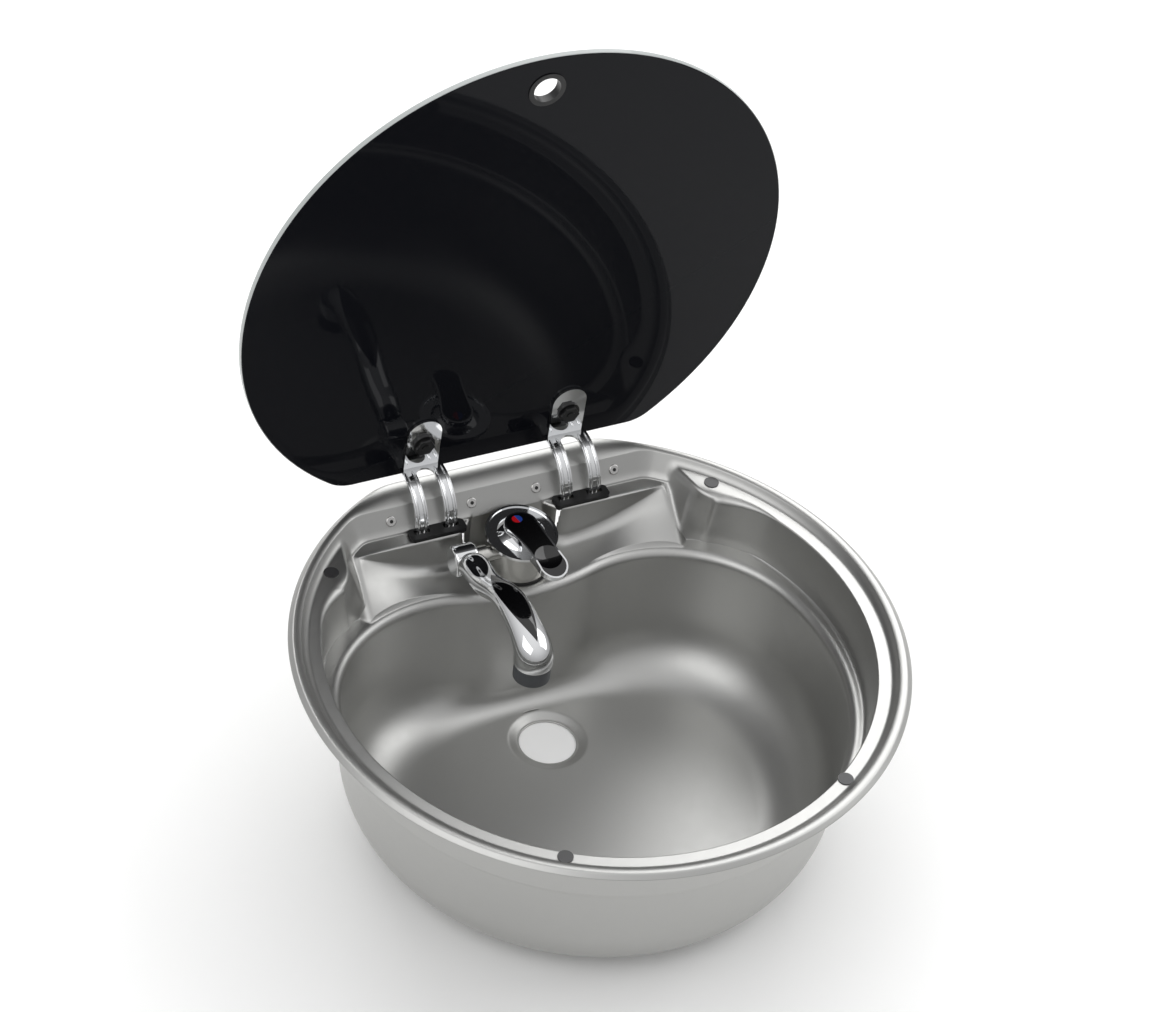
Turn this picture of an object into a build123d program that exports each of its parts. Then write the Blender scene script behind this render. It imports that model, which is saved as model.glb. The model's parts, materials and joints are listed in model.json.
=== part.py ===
from build123d import *
import os
from math import asin, atan2, cos, degrees, hypot, radians, sin, sqrt, tan

# Round pressed sink for a vehicle kitchen, with a glass lid that folds shut over a folding mixer tap.
# Millimetres. X to the right and Y to the rear, seen from the front. The origin is the centre of the
# round rim, in the plane of the worktop. Heights of the pressing are drops below the rim's flat top.

# ---- driving dimensions: rim -------------------------------------------------------------------
SHEET = 0.8
RIM_RADIUS = 220.0
RIM_REAR_CUT = 17.0
RIM_REAR_Y = RIM_RADIUS - RIM_REAR_CUT
RIM_CORNER = 50.0
RIM_RISE = 3.6
LIP_GAP = 0.3
LIP_WIDTH = 3.4
LIP_FALL = 3.0
SEAL_INSET = 4.2
SEAL_WIDTH = 3.2

# ---- driving dimensions: lid recess and ledge --------------------------------------------------
RIM_FLAT = 9.0
REAR_FLAT = 27.0
RECESS_RADIUS = RIM_RADIUS - RIM_FLAT
RECESS_REAR_Y = RIM_REAR_Y - REAR_FLAT
RECESS_CORNER = 28.0
LEDGE_DROP = 6.0
LEDGE_WIDTH = 14.5
WALL_DRAFT = 4.5
WALL_TOP_RADIUS = RECESS_RADIUS - LEDGE_WIDTH
WALL_FOOT_RADIUS = WALL_TOP_RADIUS - WALL_DRAFT
WALL_FOOT_ROUND = 3.5
BUMPER_RADIUS = 5.5
BUMPER_RISE = 0.7
BUMPER_STEM_RADIUS = 2.5
BUMPER_STEM_LENGTH = 3.0
BUMPER_BULB_RADIUS = 3.4
BUMPER_FROM_WALL = 4.3
BUMPER_CIRCLE = WALL_TOP_RADIUS + BUMPER_FROM_WALL
BUMPER_REAR_ANGLE = 40.9
BUMPER_FRONT_ANGLE = -58.3

# ---- driving dimensions: rear slope, shelf, alcove, corners ------------------------------------
DECK_DROP = 49.0
SHELF_DROP = 17.8
SLOPE_RUN = 11.5
SLOPE_FOOT_Y = RECESS_REAR_Y - SLOPE_RUN
SHELF_DEPTH = 14.5
SHELF_FRONT_Y = SLOPE_FOOT_Y - SHELF_DEPTH
SHELF_FRONT_ROUND = 2.5
SHELF_END_ROUND = 10.0
ALCOVE_HALF = 27.5
ALCOVE_DEPTH = 9.5
ALCOVE_FOOT_Y = SHELF_FRONT_Y + ALCOVE_DEPTH
GUTTER_TOP_INSET = 6.0
GUTTER_TOP_Y = RECESS_REAR_Y - GUTTER_TOP_INSET
GUTTER_WIDTH = 21.5
GUTTER_TO_BASIN = 4.0
# Corners of the right-hand pad: how far inside the wall's top edge, and the angle from +X in degrees
PAD_CORNER_PLACE = (8.7, 41.33)
PAD_REAR_PLACE = (-10.6, 51.47)
PAD_FRONT_PLACE = (1.1, 26.43)
PAD_MIDDLE_PLACE = (4.7, 34.27)
PAD_CORNER_ROUND = 6.0
PAD_TAPER = 8.0

# ---- driving dimensions: basin and waste -------------------------------------------------------
DECK_WIDTH = 10.0
BASIN_RADIUS = WALL_FOOT_RADIUS - DECK_WIDTH
BASIN_CENTRE_Y = -2.0
EAR_SPREAD = 82.0
EAR_RADIUS = BASIN_RADIUS - EAR_SPREAD
EAR_ANGLE = 14.5
REAR_DECK_DEPTH = 43.0
BULGE_FRONT_Y = SHELF_FRONT_Y - REAR_DECK_DEPTH
BASIN_TAPER = 2.2
BASIN_EDGE_ROUND = 3.5
FLOOR_DROP = 157.0
FRONT_FOOT_ROUND = 51.0
EAR_FOOT_ROUND = 36.0
BULGE_FOOT_ROUND = 14.5
FOOT_STEP = 11.0
WASTE_FROM_BULGE = 49.0
WASTE_Y = BULGE_FRONT_Y - WASTE_FROM_BULGE
WASTE_HOLE_RADIUS = 21.5
WASTE_RECESS_RADIUS = 29.0
WASTE_RECESS_RUN = 4.0
WASTE_RECESS_DEPTH = 3.0

# ---- driving dimensions: lid -------------------------------------------------------------------
GLASS_GAP = 5.5
GLASS_REAR_GAP = 8.9
GLASS_RADIUS = RECESS_RADIUS - GLASS_GAP
GLASS_THICK = 5.0
GLASS_REAR_Y = RECESS_REAR_Y - GLASS_REAR_GAP
GLASS_CORNER = 28.0
GLASS_EDGE = 0.8
LID_GAP = 0.3
FINGER_HOLE_FROM_EDGE = 26.8
FINGER_HOLE_Y = FINGER_HOLE_FROM_EDGE - GLASS_RADIUS
FINGER_HOLE_RADIUS = 9.85
FINGER_RING_WALL = 1.15
FINGER_RING_FLANGE = 13.5
FINGER_FLANGE_THICK = 0.8
LID_OPEN_ANGLE = 86.0

# ---- driving dimensions: hinges ----------------------------------------------------------------
HINGE_X = 57.8
PIVOT_BEHIND_SLOPE = 14.0
PIVOT_Y = RECESS_REAR_Y + PIVOT_BEHIND_SLOPE
PIVOT_DROP = 14.5
ARM_INNER = 28.6
ARM_THICK = 2.0
ARM_WIDTH = 9.5
ARM_GAP = 13.5
ARM_SWEEP = 131.0
ARM_GAP_SWEEP = 60.0
ARM_END_SWEEP = 5.0
ARCH_START = 5.0
WEB_THICK = 4.0
TONGUE_WIDTH = 27.0
TONGUE_THICK = 2.0
TONGUE_END = 51.8
BOLT_FROM_EDGE = 29.4
BOLT_RADIUS = 3.0
BOLT_END = 0.6
BOLT_HEAD_RADIUS = 9.0
BOLT_HEAD_THICK = 2.4
BOLT_SOCKET_FLATS = 4.0
BOLT_SOCKET_DEPTH = 1.4
NUT_FLANGE_RADIUS = 8.5
NUT_FLANGE_THICK = 1.3
NUT_FLATS = 12.5
NUT_THICK = 4.5
STRAP_PAD_THICK = 0.4
WASHER_THICK = 1.0
PIN_RADIUS = 3.0
PIN_HEAD_RADIUS = 4.0
PIN_HEAD_THICK = 1.2
EAR_ROUND = 4.8
BARREL_WALL = 1.6
FRICTION_WASHER_THICK = 0.9
FRICTION_WASHER_RADIUS = 4.4
BRACKET_THICK = 1.5
BRACKET_WIDTH = 74.0
BRACKET_TOP_DROP = 2.5
BRACKET_FOOT_DROP = 15.5
RIVET_FROM_END = 5.1
RIVET_SPREAD = BRACKET_WIDTH / 2 - RIVET_FROM_END
RIVET_DROP = 8.6
RIVET_RADIUS = 2.0
RIVET_HEAD_RADIUS = 4.0
RIVET_HEAD_THICK = 1.1
RIVET_EYE_RADIUS = 1.4
RIVET_BULB_RADIUS = 2.9
RIVET_BULB_LENGTH = 2.0
BEZEL_LENGTH = 44.0
BEZEL_DEPTH = 11.8
BEZEL_THICK = 3.0
BEZEL_BORDER = 0.9
BEZEL_SLOT_PLAY = 1.25
BEZEL_SLOT_DEPTH = 5.0
BEZEL_SLOT_TO_REAR = 1.8
BEZEL_COLLAR_DEPTH = 1.5
BEZEL_CORNER = 3.2

# ---- driving dimensions: tap -------------------------------------------------------------------
TAP_BEFORE_SHELF = 14.0
TAP_Y = SHELF_FRONT_Y - TAP_BEFORE_SHELF
TAP_RADIUS = 21.0
TAP_TOP_DROP = 21.5
TAP_GASKET_THICK = 1.5
TAP_GASKET_RADIUS = 22.0
TAP_FLOOR_THICK = 4.5
SHANK_RADIUS = 16.5
SHANK_BORE = 13.0
SHANK_LENGTH = 38.0
CLAMP_WASHER_THICK = 3.0
TAP_NUT_RADIUS = 24.0
TAP_NUT_THICK = 8.0
CARTRIDGE_RADIUS = 14.0
CARTRIDGE_HEIGHT = 16.0
CARTRIDGE_NUT_THICK = 3.0
CARTRIDGE_NUT_BORE = 8.0
SPINDLE_RADIUS = 4.5
SPINDLE_DEPTH = 9.0
SPINDLE_RISE = 3.6
SPINDLE_ROUND = 1.5
INLET_RADIUS = 5.0
INLET_BORE = 3.2
INLET_LENGTH = 24.0
INLET_OFFSET = 6.8
INLET_COLLAR_RADIUS = 5.9
INLET_COLLAR_LENGTH = 4.0
INLET_TAIL_RADIUS = 4.5
STUB_DROP = 26.0
STUB_FORWARD = 3.0
STUB_Y = TAP_Y - STUB_FORWARD
STUB_RADIUS = 6.0
STUB_COLLAR_RADIUS = 7.5
STUB_COLLAR_LENGTH = 8.0
STUB_END_WALL = 2.5
RING_WIDTH = 1.8
RING_DEPTH = 1.2
RING_SPACING = 5.0

# ---- driving dimensions: lever -----------------------------------------------------------------
LEVER_DROP = 14.4
LEVER_TILT = 7.0
LEVER_TURN = 12.0
DISH_RADIUS = 27.0
DISH_BELOW_PIVOT = 2.6
DISH_FLOOR = 1.3
DISH_LIP_HEIGHT = 2.3
DISH_LIP_WIDTH = 1.8
HUB_RADIUS = 19.0
HUB_RISE = 7.0
HUB_BORE = 8.5
HUB_BORE_PLAY = 1.0
LEVER_REACH = 50.0
LEVER_BACK = 15.0
LEVER_BACK_HALF = 12.4
LEVER_WAIST_Y = -16.0
LEVER_WAIST_HALF = 10.6
LEVER_TIP_HALF = 11.2
LEVER_BACK_HEIGHT = 6.8
LEVER_CREST = (-8.0, 9.4)
LEVER_TIP_HEIGHT = 3.0
LEVER_UNDERCUT = 1.8
LEVER_BORDER = 1.3
INSERT_THICK = 2.2
THUMB_Y = -37.0
THUMB_RADIUS = 30.0
THUMB_DEPTH = 1.5
MARK_RADIUS = 3.9
MARK_THICK = 0.4
MARK_BACK = 8.0
LEVER_PIN_RADIUS = 1.5
LEVER_PIN_HALF = 12.5

# ---- driving dimensions: spout -----------------------------------------------------------------
SPOUT_X = -47.0
SPOUT_BARREL_RADIUS = 12.0
SPOUT_BARREL_HALF = 9.5
SPOUT_BARREL_ROUND = 3.0
NOZZLE_REACH = 125.0
# Along the arm: share of the nozzle's reach in front of the tap's axis, drop, slope of the run in degrees,
# half width, half height
SPOUT_SECTIONS = (
    (0.112, 21.6, 21.7, 9.5, 9.5),
    (0.28, 14.5, 21.7, 11.0, 10.0),
    (0.48, 4.2, 21.7, 10.8, 8.8),
    (0.656, -4.4, 12.0, 11.4, 9.0),
    (0.816, -3.6, -8.0, 12.2, 9.8),
    (0.928, -0.2, -42.0, 13.2, 11.6),
)
NOZZLE_Y = TAP_Y - NOZZLE_REACH
NOZZLE_RADIUS = 14.0
NOZZLE_SEAM_DROP = 15.0
NOZZLE_DROP = 28.0
NOZZLE_RING_RADIUS = 13.4
NOZZLE_WALL = 2.0
NOZZLE_SPIGOT = 5.0
AERATOR_THICK = 4.0
AERATOR_HOLE = 1.1
AERATOR_RINGS = (1, 6, 12)
WATERWAY_RADIUS = 3.2
SPOUT_INSERT_START_SHARE = 0.384
SPOUT_INSERT_WIDEST_SHARE = 0.656
SPOUT_INSERT_PAST_NOZZLE = 3.0
SPOUT_INSERT_HALF = 9.0
SET_SCREW_RADIUS = 1.5
SET_SCREW_ANGLE = 235.0

# ---- clearances shared by pieces that fit ------------------------------------------------------
RUNNING = 0.05
SNUG = 0.02
CLEAR = 0.3
HOLE_PLAY = 0.1
BIG = 2 * RIM_RADIUS


def level(drop):
    """Height of a place that lies this far below the rim's flat top."""
    return RIM_RISE - drop


def wall_growth(grow, run, fall):
    """How far a sloping wall moves out, when it also moves down, to lie grow away from itself."""
    return grow * (hypot(run, fall) - run) / fall


def side_prism(points, x_low, x_high):
    """Solid with its outline in the Y-Z plane, between two values of X."""
    outline = make_face(Polyline(*points, close=True))
    return Pos(x_low, 0, 0) * extrude(Plane.YZ * outline, x_high - x_low)


def slope_y(drop):
    """Where the rear slope lies at this drop."""
    return RECESS_REAR_Y - (RECESS_REAR_Y - SLOPE_FOOT_Y) * drop / SHELF_DROP


def polar(centre, radius, angle):
    """Point at a radius and an angle in degrees from +X."""
    return (centre[0] + radius * cos(radians(angle)), centre[1] + radius * sin(radians(angle)))


def arc_angle(length, radius):
    """Angle in degrees that an arc of this length turns through."""
    return degrees(length / radius)


def pad_point(inset, angle):
    """Point of the pad's outline, given inside the wall's top edge."""
    return polar((0, 0), WALL_TOP_RADIUS - inset, angle)


PAD_CORNER = pad_point(*PAD_CORNER_PLACE)
PAD_REAR = pad_point(*PAD_REAR_PLACE)
PAD_FRONT = pad_point(*PAD_FRONT_PLACE)
PAD_MIDDLE = pad_point(*PAD_MIDDLE_PLACE)
SHELF_END_X = PAD_CORNER[0] - GUTTER_WIDTH
EAR_CENTRE = polar((0, BASIN_CENTRE_Y), BASIN_RADIUS - EAR_RADIUS, EAR_ANGLE)
GUTTER_INNER_X = SHELF_END_X - SHELF_END_ROUND
GUTTER_FOOT_Y = EAR_CENTRE[1] + sqrt(EAR_RADIUS**2 - (GUTTER_INNER_X - EAR_CENTRE[0]) ** 2) + GUTTER_TO_BASIN
RECESS_RUN = RECESS_REAR_Y - slope_y(LEDGE_DROP)
SLOPE_STRETCH = hypot(RECESS_REAR_Y - SLOPE_FOOT_Y, SHELF_DROP) / SHELF_DROP


def cut_disc(radius, rear_y, corner):
    """Disc with a straight rear edge and rounded corners."""
    plan = Circle(radius) & Pos(0, rear_y - BIG / 2) * Rectangle(BIG, BIG)
    corners = plan.vertices().filter_by(lambda v: v.Y > rear_y - 1)
    return fillet(corners, corner)


# ---- bowl ----------------------------------------------------------------------------------------
def rim_block(grow):
    """Solid rim with a sloping lip, smaller by grow, to be hollowed by a smaller one."""
    plan = cut_disc(RIM_RADIUS - grow, RIM_REAR_Y - grow, RIM_CORNER - grow)
    foot = level(LIP_FALL + grow)
    skirt = Pos(0, 0, LIP_GAP) * extrude(plan, foot - LIP_GAP)
    slope = Pos(0, 0, foot) * extrude(plan, LIP_FALL, taper=degrees(atan2(LIP_WIDTH, LIP_FALL)))
    return skirt + slope


def recess_air(grow):
    """Space above the ledge, which the lid fills when shut."""
    out = wall_growth(grow, RECESS_RUN, LEDGE_DROP)
    plan = cut_disc(RECESS_RADIUS + out, RECESS_REAR_Y + out, RECESS_CORNER)
    taper = degrees(atan2(RECESS_RUN, LEDGE_DROP))
    return Pos(0, 0, level(grow)) * extrude(plan, -LEDGE_DROP, taper=taper)


def step_air(grow):
    """Space between the ledge and the deck, before the rear lands are taken from it."""
    height = DECK_DROP - LEDGE_DROP
    out = wall_growth(grow, WALL_TOP_RADIUS - WALL_FOOT_RADIUS, height)
    cone = Cone(WALL_FOOT_RADIUS + out, WALL_TOP_RADIUS + out, height)
    cone = fillet(cone.edges().sort_by(Axis.Z)[0], WALL_FOOT_ROUND + grow)
    return Pos(0, 0, level(LEDGE_DROP + height / 2 + grow)) * cone


def rear_land(grow):
    """Metal land behind the slope and, lower down, behind the alcove."""
    out = grow * SLOPE_STRETCH
    points = [
        (slope_y(-SHELF_DROP) + out, level(-SHELF_DROP)),
        (SLOPE_FOOT_Y + out, level(SHELF_DROP)),
        (ALCOVE_FOOT_Y + grow, level(DECK_DROP)),
        (ALCOVE_FOOT_Y + grow, level(DECK_DROP + SHELF_DROP)),
        (BIG, level(DECK_DROP + SHELF_DROP)),
        (BIG, level(-SHELF_DROP)),
    ]
    return side_prism(points, -BIG, BIG)


def shelf_land(side, grow):
    """Land under one half of the shelf, from the alcove to the corner gutter."""
    deep = DECK_DROP + SHEET + CLEAR
    length = SHELF_END_X - ALCOVE_HALF - 2 * grow
    depth = RIM_RADIUS - SHELF_FRONT_Y
    land = Box(length, depth, deep - SHELF_DROP)
    front = land.edges().filter_by(Axis.Z).group_by(Axis.Y)[0]
    land = fillet(front, SHELF_END_ROUND - grow)
    top_front = land.faces().sort_by(Axis.Z)[-1].edges().filter_by(lambda e: e.center().Y < depth / 2 - 1)
    land = fillet(top_front, SHELF_FRONT_ROUND - grow)
    middle = (
        side * (SHELF_END_X + ALCOVE_HALF) / 2,
        SHELF_FRONT_Y + grow + depth / 2,
        (level(SHELF_DROP) + level(deep)) / 2 - grow,
    )
    return Pos(*middle) * land


def corner_pad(side, grow):
    """Land outside the gutter, which carries the rear bumper at the ledge's height."""
    pad = extrude(pad_plan(grow), -(DECK_DROP - LEDGE_DROP + CLEAR), taper=-PAD_TAPER)
    pad = Pos(0, 0, level(LEDGE_DROP + grow)) * pad
    return pad if side > 0 else mirror(pad, Plane.YZ)


def pad_plan(grow):
    """Outline of the right-hand pad at the ledge's height."""
    outside = [(PAD_REAR[0], RIM_RADIUS), (RIM_RADIUS, RIM_RADIUS), (RIM_RADIUS, PAD_FRONT[1])]
    inner = Polyline(PAD_CORNER, PAD_REAR, *outside)
    front = Line(outside[-1], PAD_FRONT)
    curve = ThreePointArc(PAD_FRONT, PAD_MIDDLE, PAD_CORNER)
    plan = make_face([inner, front, curve])
    plan = fillet(plan.vertices().sort_by_distance((*PAD_CORNER, 0))[0], PAD_CORNER_ROUND)
    return offset(plan, -grow, kind=Kind.INTERSECTION) if grow else plan


def gutter_land(side, grow):
    """Sloping groove floor between the shelf's end and the corner pad."""
    out = grow * 1.3
    points = [
        (GUTTER_TOP_Y + out, level(LEDGE_DROP)),
        (GUTTER_FOOT_Y + out, level(DECK_DROP)),
        (GUTTER_FOOT_Y + out, level(DECK_DROP + CLEAR + grow)),
        (RIM_RADIUS, level(DECK_DROP + CLEAR + grow)),
        (RIM_RADIUS, level(LEDGE_DROP)),
    ]
    ends = sorted((side * (GUTTER_INNER_X - grow), side * PAD_FRONT[0]))
    return side_prism(points, *ends)


def basin_plan(front_inset, ear_inset, bulge_inset):
    """Kidney-shaped basin outline: front arc, two ears and a bulge between them, all tangent."""
    front_radius = BASIN_RADIUS - front_inset
    ear_radius = EAR_RADIUS - ear_inset
    bulge = (0, BULGE_FRONT_Y - bulge_inset)
    middle = (0, BASIN_CENTRE_Y)
    ear = polar(middle, front_radius - ear_radius, EAR_ANGLE)
    reach = bulge[1] - ear[1]
    bulge_radius = (ear[0] ** 2 + reach**2 - ear_radius**2) / (2 * (ear_radius - reach))
    side = 1 if bulge_radius > 0 else -1
    ear_end = degrees(atan2(side * (bulge[1] + bulge_radius - ear[1]), -side * ear[0]))
    front_end = polar(middle, front_radius, EAR_ANGLE)
    ear_middle = polar(ear, ear_radius, (EAR_ANGLE + ear_end) / 2)
    bulge_end = polar(ear, ear_radius, ear_end)
    front_other, ear_other, bulge_other = ((-x, y) for x, y in (front_end, ear_middle, bulge_end))
    return make_face(
        [
            ThreePointArc(front_other, (0, BASIN_CENTRE_Y - front_radius), front_end),
            ThreePointArc(front_end, ear_middle, bulge_end),
            ThreePointArc(bulge_end, bulge, bulge_other),
            ThreePointArc(bulge_other, ear_other, front_other),
        ]
    )


def foot_inset(wall_inset, radius, height):
    """Inset of the rounded foot at a height above the floor, from the wall's inset at the floor."""
    taper = radians(BASIN_TAPER)
    if height >= radius * (1 - sin(taper)):
        return wall_inset - height * tan(taper)
    centre = wall_inset - radius * tan(taper) + radius / cos(taper)
    return centre - sqrt(radius**2 - (radius - height) ** 2)


def basin_air(grow):
    """Space inside the basin; its foot is tight round the bulge and wide along the front."""
    fall = FLOOR_DROP - DECK_DROP
    run = fall * tan(radians(BASIN_TAPER))
    out = wall_growth(grow, run, fall)
    rounds = [radius + grow for radius in (FRONT_FOOT_ROUND, EAR_FOOT_ROUND, BULGE_FOOT_ROUND)]
    steps = round((90 - BASIN_TAPER) / FOOT_STEP)
    sections = []
    for step in range(steps + 1):
        angle = BASIN_TAPER + (90 - BASIN_TAPER) * step / steps
        height = rounds[0] * (1 - sin(radians(angle)))
        insets = [foot_inset(run - out, radius, height) for radius in rounds]
        sections.append(Pos(0, 0, height) * basin_plan(*insets))
    foot_height = rounds[0] * (1 - sin(radians(BASIN_TAPER)))
    wall = Pos(0, 0, fall) * extrude(basin_plan(-out, -out, -out), foot_height - fall, taper=BASIN_TAPER)
    return Pos(0, 0, level(FLOOR_DROP + grow)) * (loft(sections) + wall)


def waste_air(grow):
    """Shallow recess round the waste hole."""
    out = wall_growth(grow, WASTE_RECESS_RUN, WASTE_RECESS_DEPTH)
    cone = Cone(WASTE_RECESS_RADIUS - WASTE_RECESS_RUN + out, WASTE_RECESS_RADIUS + out, WASTE_RECESS_DEPTH)
    return Pos(0, WASTE_Y, level(FLOOR_DROP + grow + WASTE_RECESS_DEPTH / 2)) * cone


def bowl_air(grow):
    """Everything that the pressed sheet goes round, with its walls moved out by grow."""
    step = step_air(grow)
    for side in (1, -1):
        step -= shelf_land(side, grow)
        step -= corner_pad(side, grow)
        step -= gutter_land(side, grow)
    air = recess_air(grow) + step - rear_land(grow)
    air += basin_air(grow)
    air = fillet(basin_edge(air, grow), BASIN_EDGE_ROUND - grow)
    return air + waste_air(grow)


def basin_edge(solid, grow):
    """Edges where the basin drops from the deck."""
    height = level(DECK_DROP + grow)
    outline = basin_plan(0, 0, 0).moved(Location((0, 0, height)))
    flat = solid.edges().filter_by_position(Axis.Z, height - HOLE_PLAY, height + HOLE_PLAY)
    return flat.filter_by(lambda edge: outline.distance_to(edge @ 0.5) < 2 * SHEET)


def bumper_places():
    """Centres of the four bumpers on the ledge."""
    places = []
    for angle in (BUMPER_REAR_ANGLE, BUMPER_FRONT_ANGLE):
        x = BUMPER_CIRCLE * cos(radians(angle))
        y = BUMPER_CIRCLE * sin(radians(angle))
        places += [(-x, y, level(LEDGE_DROP)), (x, y, level(LEDGE_DROP))]
    return places


def make_bowl():
    shell = rim_block(0) - rim_block(SHEET) + bowl_air(SHEET) - bowl_air(0)
    through = 4 * SHEET
    shell -= Pos(0, WASTE_Y, level(FLOOR_DROP + WASTE_RECESS_DEPTH)) * Cylinder(WASTE_HOLE_RADIUS, through)
    shell -= Pos(0, TAP_Y, level(DECK_DROP)) * Cylinder(SHANK_RADIUS + CLEAR, through)
    for place in bumper_places():
        shell -= Pos(*place) * Cylinder(BUMPER_STEM_RADIUS + SNUG, through)
    for side in (-1, 1):
        shell -= bezel_block(side, BEZEL_BORDER, SHEET * 2, -SHEET)
        for place in rivet_places(side):
            shell -= place * Cylinder(RIVET_RADIUS + SNUG, 2 * through)
    return shell


def make_rim_seal():
    inner = SEAL_INSET + SEAL_WIDTH
    outline = cut_disc(RIM_RADIUS - SEAL_INSET, RIM_REAR_Y - SEAL_INSET, RIM_CORNER - SEAL_INSET)
    hole = cut_disc(RIM_RADIUS - inner, RIM_REAR_Y - inner, RIM_CORNER - inner)
    return extrude(outline - hole, level(SHEET))


def make_lid_bumpers():
    bumpers = []
    for place in bumper_places():
        head = Pos(0, 0, BUMPER_RISE / 2) * Cylinder(BUMPER_RADIUS, BUMPER_RISE)
        stem = Pos(0, 0, -BUMPER_STEM_LENGTH / 2) * Cylinder(BUMPER_STEM_RADIUS, BUMPER_STEM_LENGTH)
        bulb_height = BUMPER_STEM_LENGTH - SHEET - SNUG
        bulb = Cone(BUMPER_STEM_RADIUS, BUMPER_BULB_RADIUS, bulb_height)
        bumpers.append(Pos(*place) * (head + stem + Pos(0, 0, -BUMPER_STEM_LENGTH + bulb_height / 2) * bulb))
    return bumpers


# ---- lid -----------------------------------------------------------------------------------------
UNDER_GLASS = level(LEDGE_DROP - BUMPER_RISE - LID_GAP)
TOP_OF_GLASS = UNDER_GLASS + GLASS_THICK
PIVOT_Z = level(PIVOT_DROP)
BOLT_Y = GLASS_REAR_Y - BOLT_FROM_EDGE


def opened(solid):
    """Turn a piece of the lid, drawn shut, to the open position."""
    pivot = Pos(0, PIVOT_Y, PIVOT_Z)
    return pivot * Rot(-LID_OPEN_ANGLE, 0, 0) * pivot.inverse() * solid


def upright(radius, low, high, x=0, y=0):
    """Cylinder along Z between two heights."""
    return Pos(x, y, (low + high) / 2) * Cylinder(radius, high - low)


def make_lid_glass():
    glass = Pos(0, 0, UNDER_GLASS) * extrude(cut_disc(GLASS_RADIUS, GLASS_REAR_Y, GLASS_CORNER), GLASS_THICK)
    rims = glass.faces().filter_by(Axis.Z).edges()
    glass = chamfer(rims, GLASS_EDGE)
    ring_hole = FINGER_HOLE_RADIUS + FINGER_RING_WALL + HOLE_PLAY
    glass -= upright(ring_hole, UNDER_GLASS, TOP_OF_GLASS, 0, FINGER_HOLE_Y)
    for side in (-1, 1):
        glass -= upright(BOLT_RADIUS + CLEAR, UNDER_GLASS, TOP_OF_GLASS, side * HINGE_X, BOLT_Y)
    return opened(glass)


def make_finger_ring():
    low = UNDER_GLASS - FINGER_FLANGE_THICK
    high = TOP_OF_GLASS + FINGER_FLANGE_THICK
    ring = upright(FINGER_HOLE_RADIUS + FINGER_RING_WALL, low, high)
    ring += upright(FINGER_RING_FLANGE, low, UNDER_GLASS) + upright(FINGER_RING_FLANGE, TOP_OF_GLASS, high)
    ring -= upright(FINGER_HOLE_RADIUS, low, high)
    return opened(Pos(0, FINGER_HOLE_Y, 0) * ring)


# ---- hinges --------------------------------------------------------------------------------------
ARM_OUTER = ARM_INNER + ARM_THICK
STRAP_HALF = ARM_GAP / 2 + ARM_WIDTH
STRAP_TOP = UNDER_GLASS - STRAP_PAD_THICK
STRAP_FOOT = STRAP_TOP - TONGUE_THICK
EAR_X = STRAP_HALF + HOLE_PLAY + FRICTION_WASHER_THICK + RUNNING


def about_pivot(radius, angle):
    """Point in the Y-Z plane at a radius and an angle from +Y about the hinge axis."""
    return (PIVOT_Y + radius * cos(radians(angle)), PIVOT_Z + radius * sin(radians(angle)))


def on_arc(radius, height):
    """Angle at which a circle about the hinge axis reaches this height, on the front side."""
    return 180 - degrees(asin((height - PIVOT_Z) / radius))


def along_x(radius, x_low, x_high, y, z):
    """Cylinder along X between two places."""
    return Pos((x_low + x_high) / 2, y, z) * Rot(0, 90, 0) * Cylinder(radius, x_high - x_low)


def arm_band(start_inner, start_outer, end, half_width):
    """Part of a curved band about the hinge axis."""
    inner = ThreePointArc(*(about_pivot(ARM_INNER, a) for a in (start_inner, (start_inner + end) / 2, end)))
    outer = ThreePointArc(*(about_pivot(ARM_OUTER, a) for a in (start_outer, (start_outer + end) / 2, end)))
    face = make_face([inner, outer, Line(inner @ 0, outer @ 0), Line(inner @ 1, outer @ 1)])
    return Pos(-half_width, 0, 0) * extrude(Plane.YZ * face, 2 * half_width)


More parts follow.
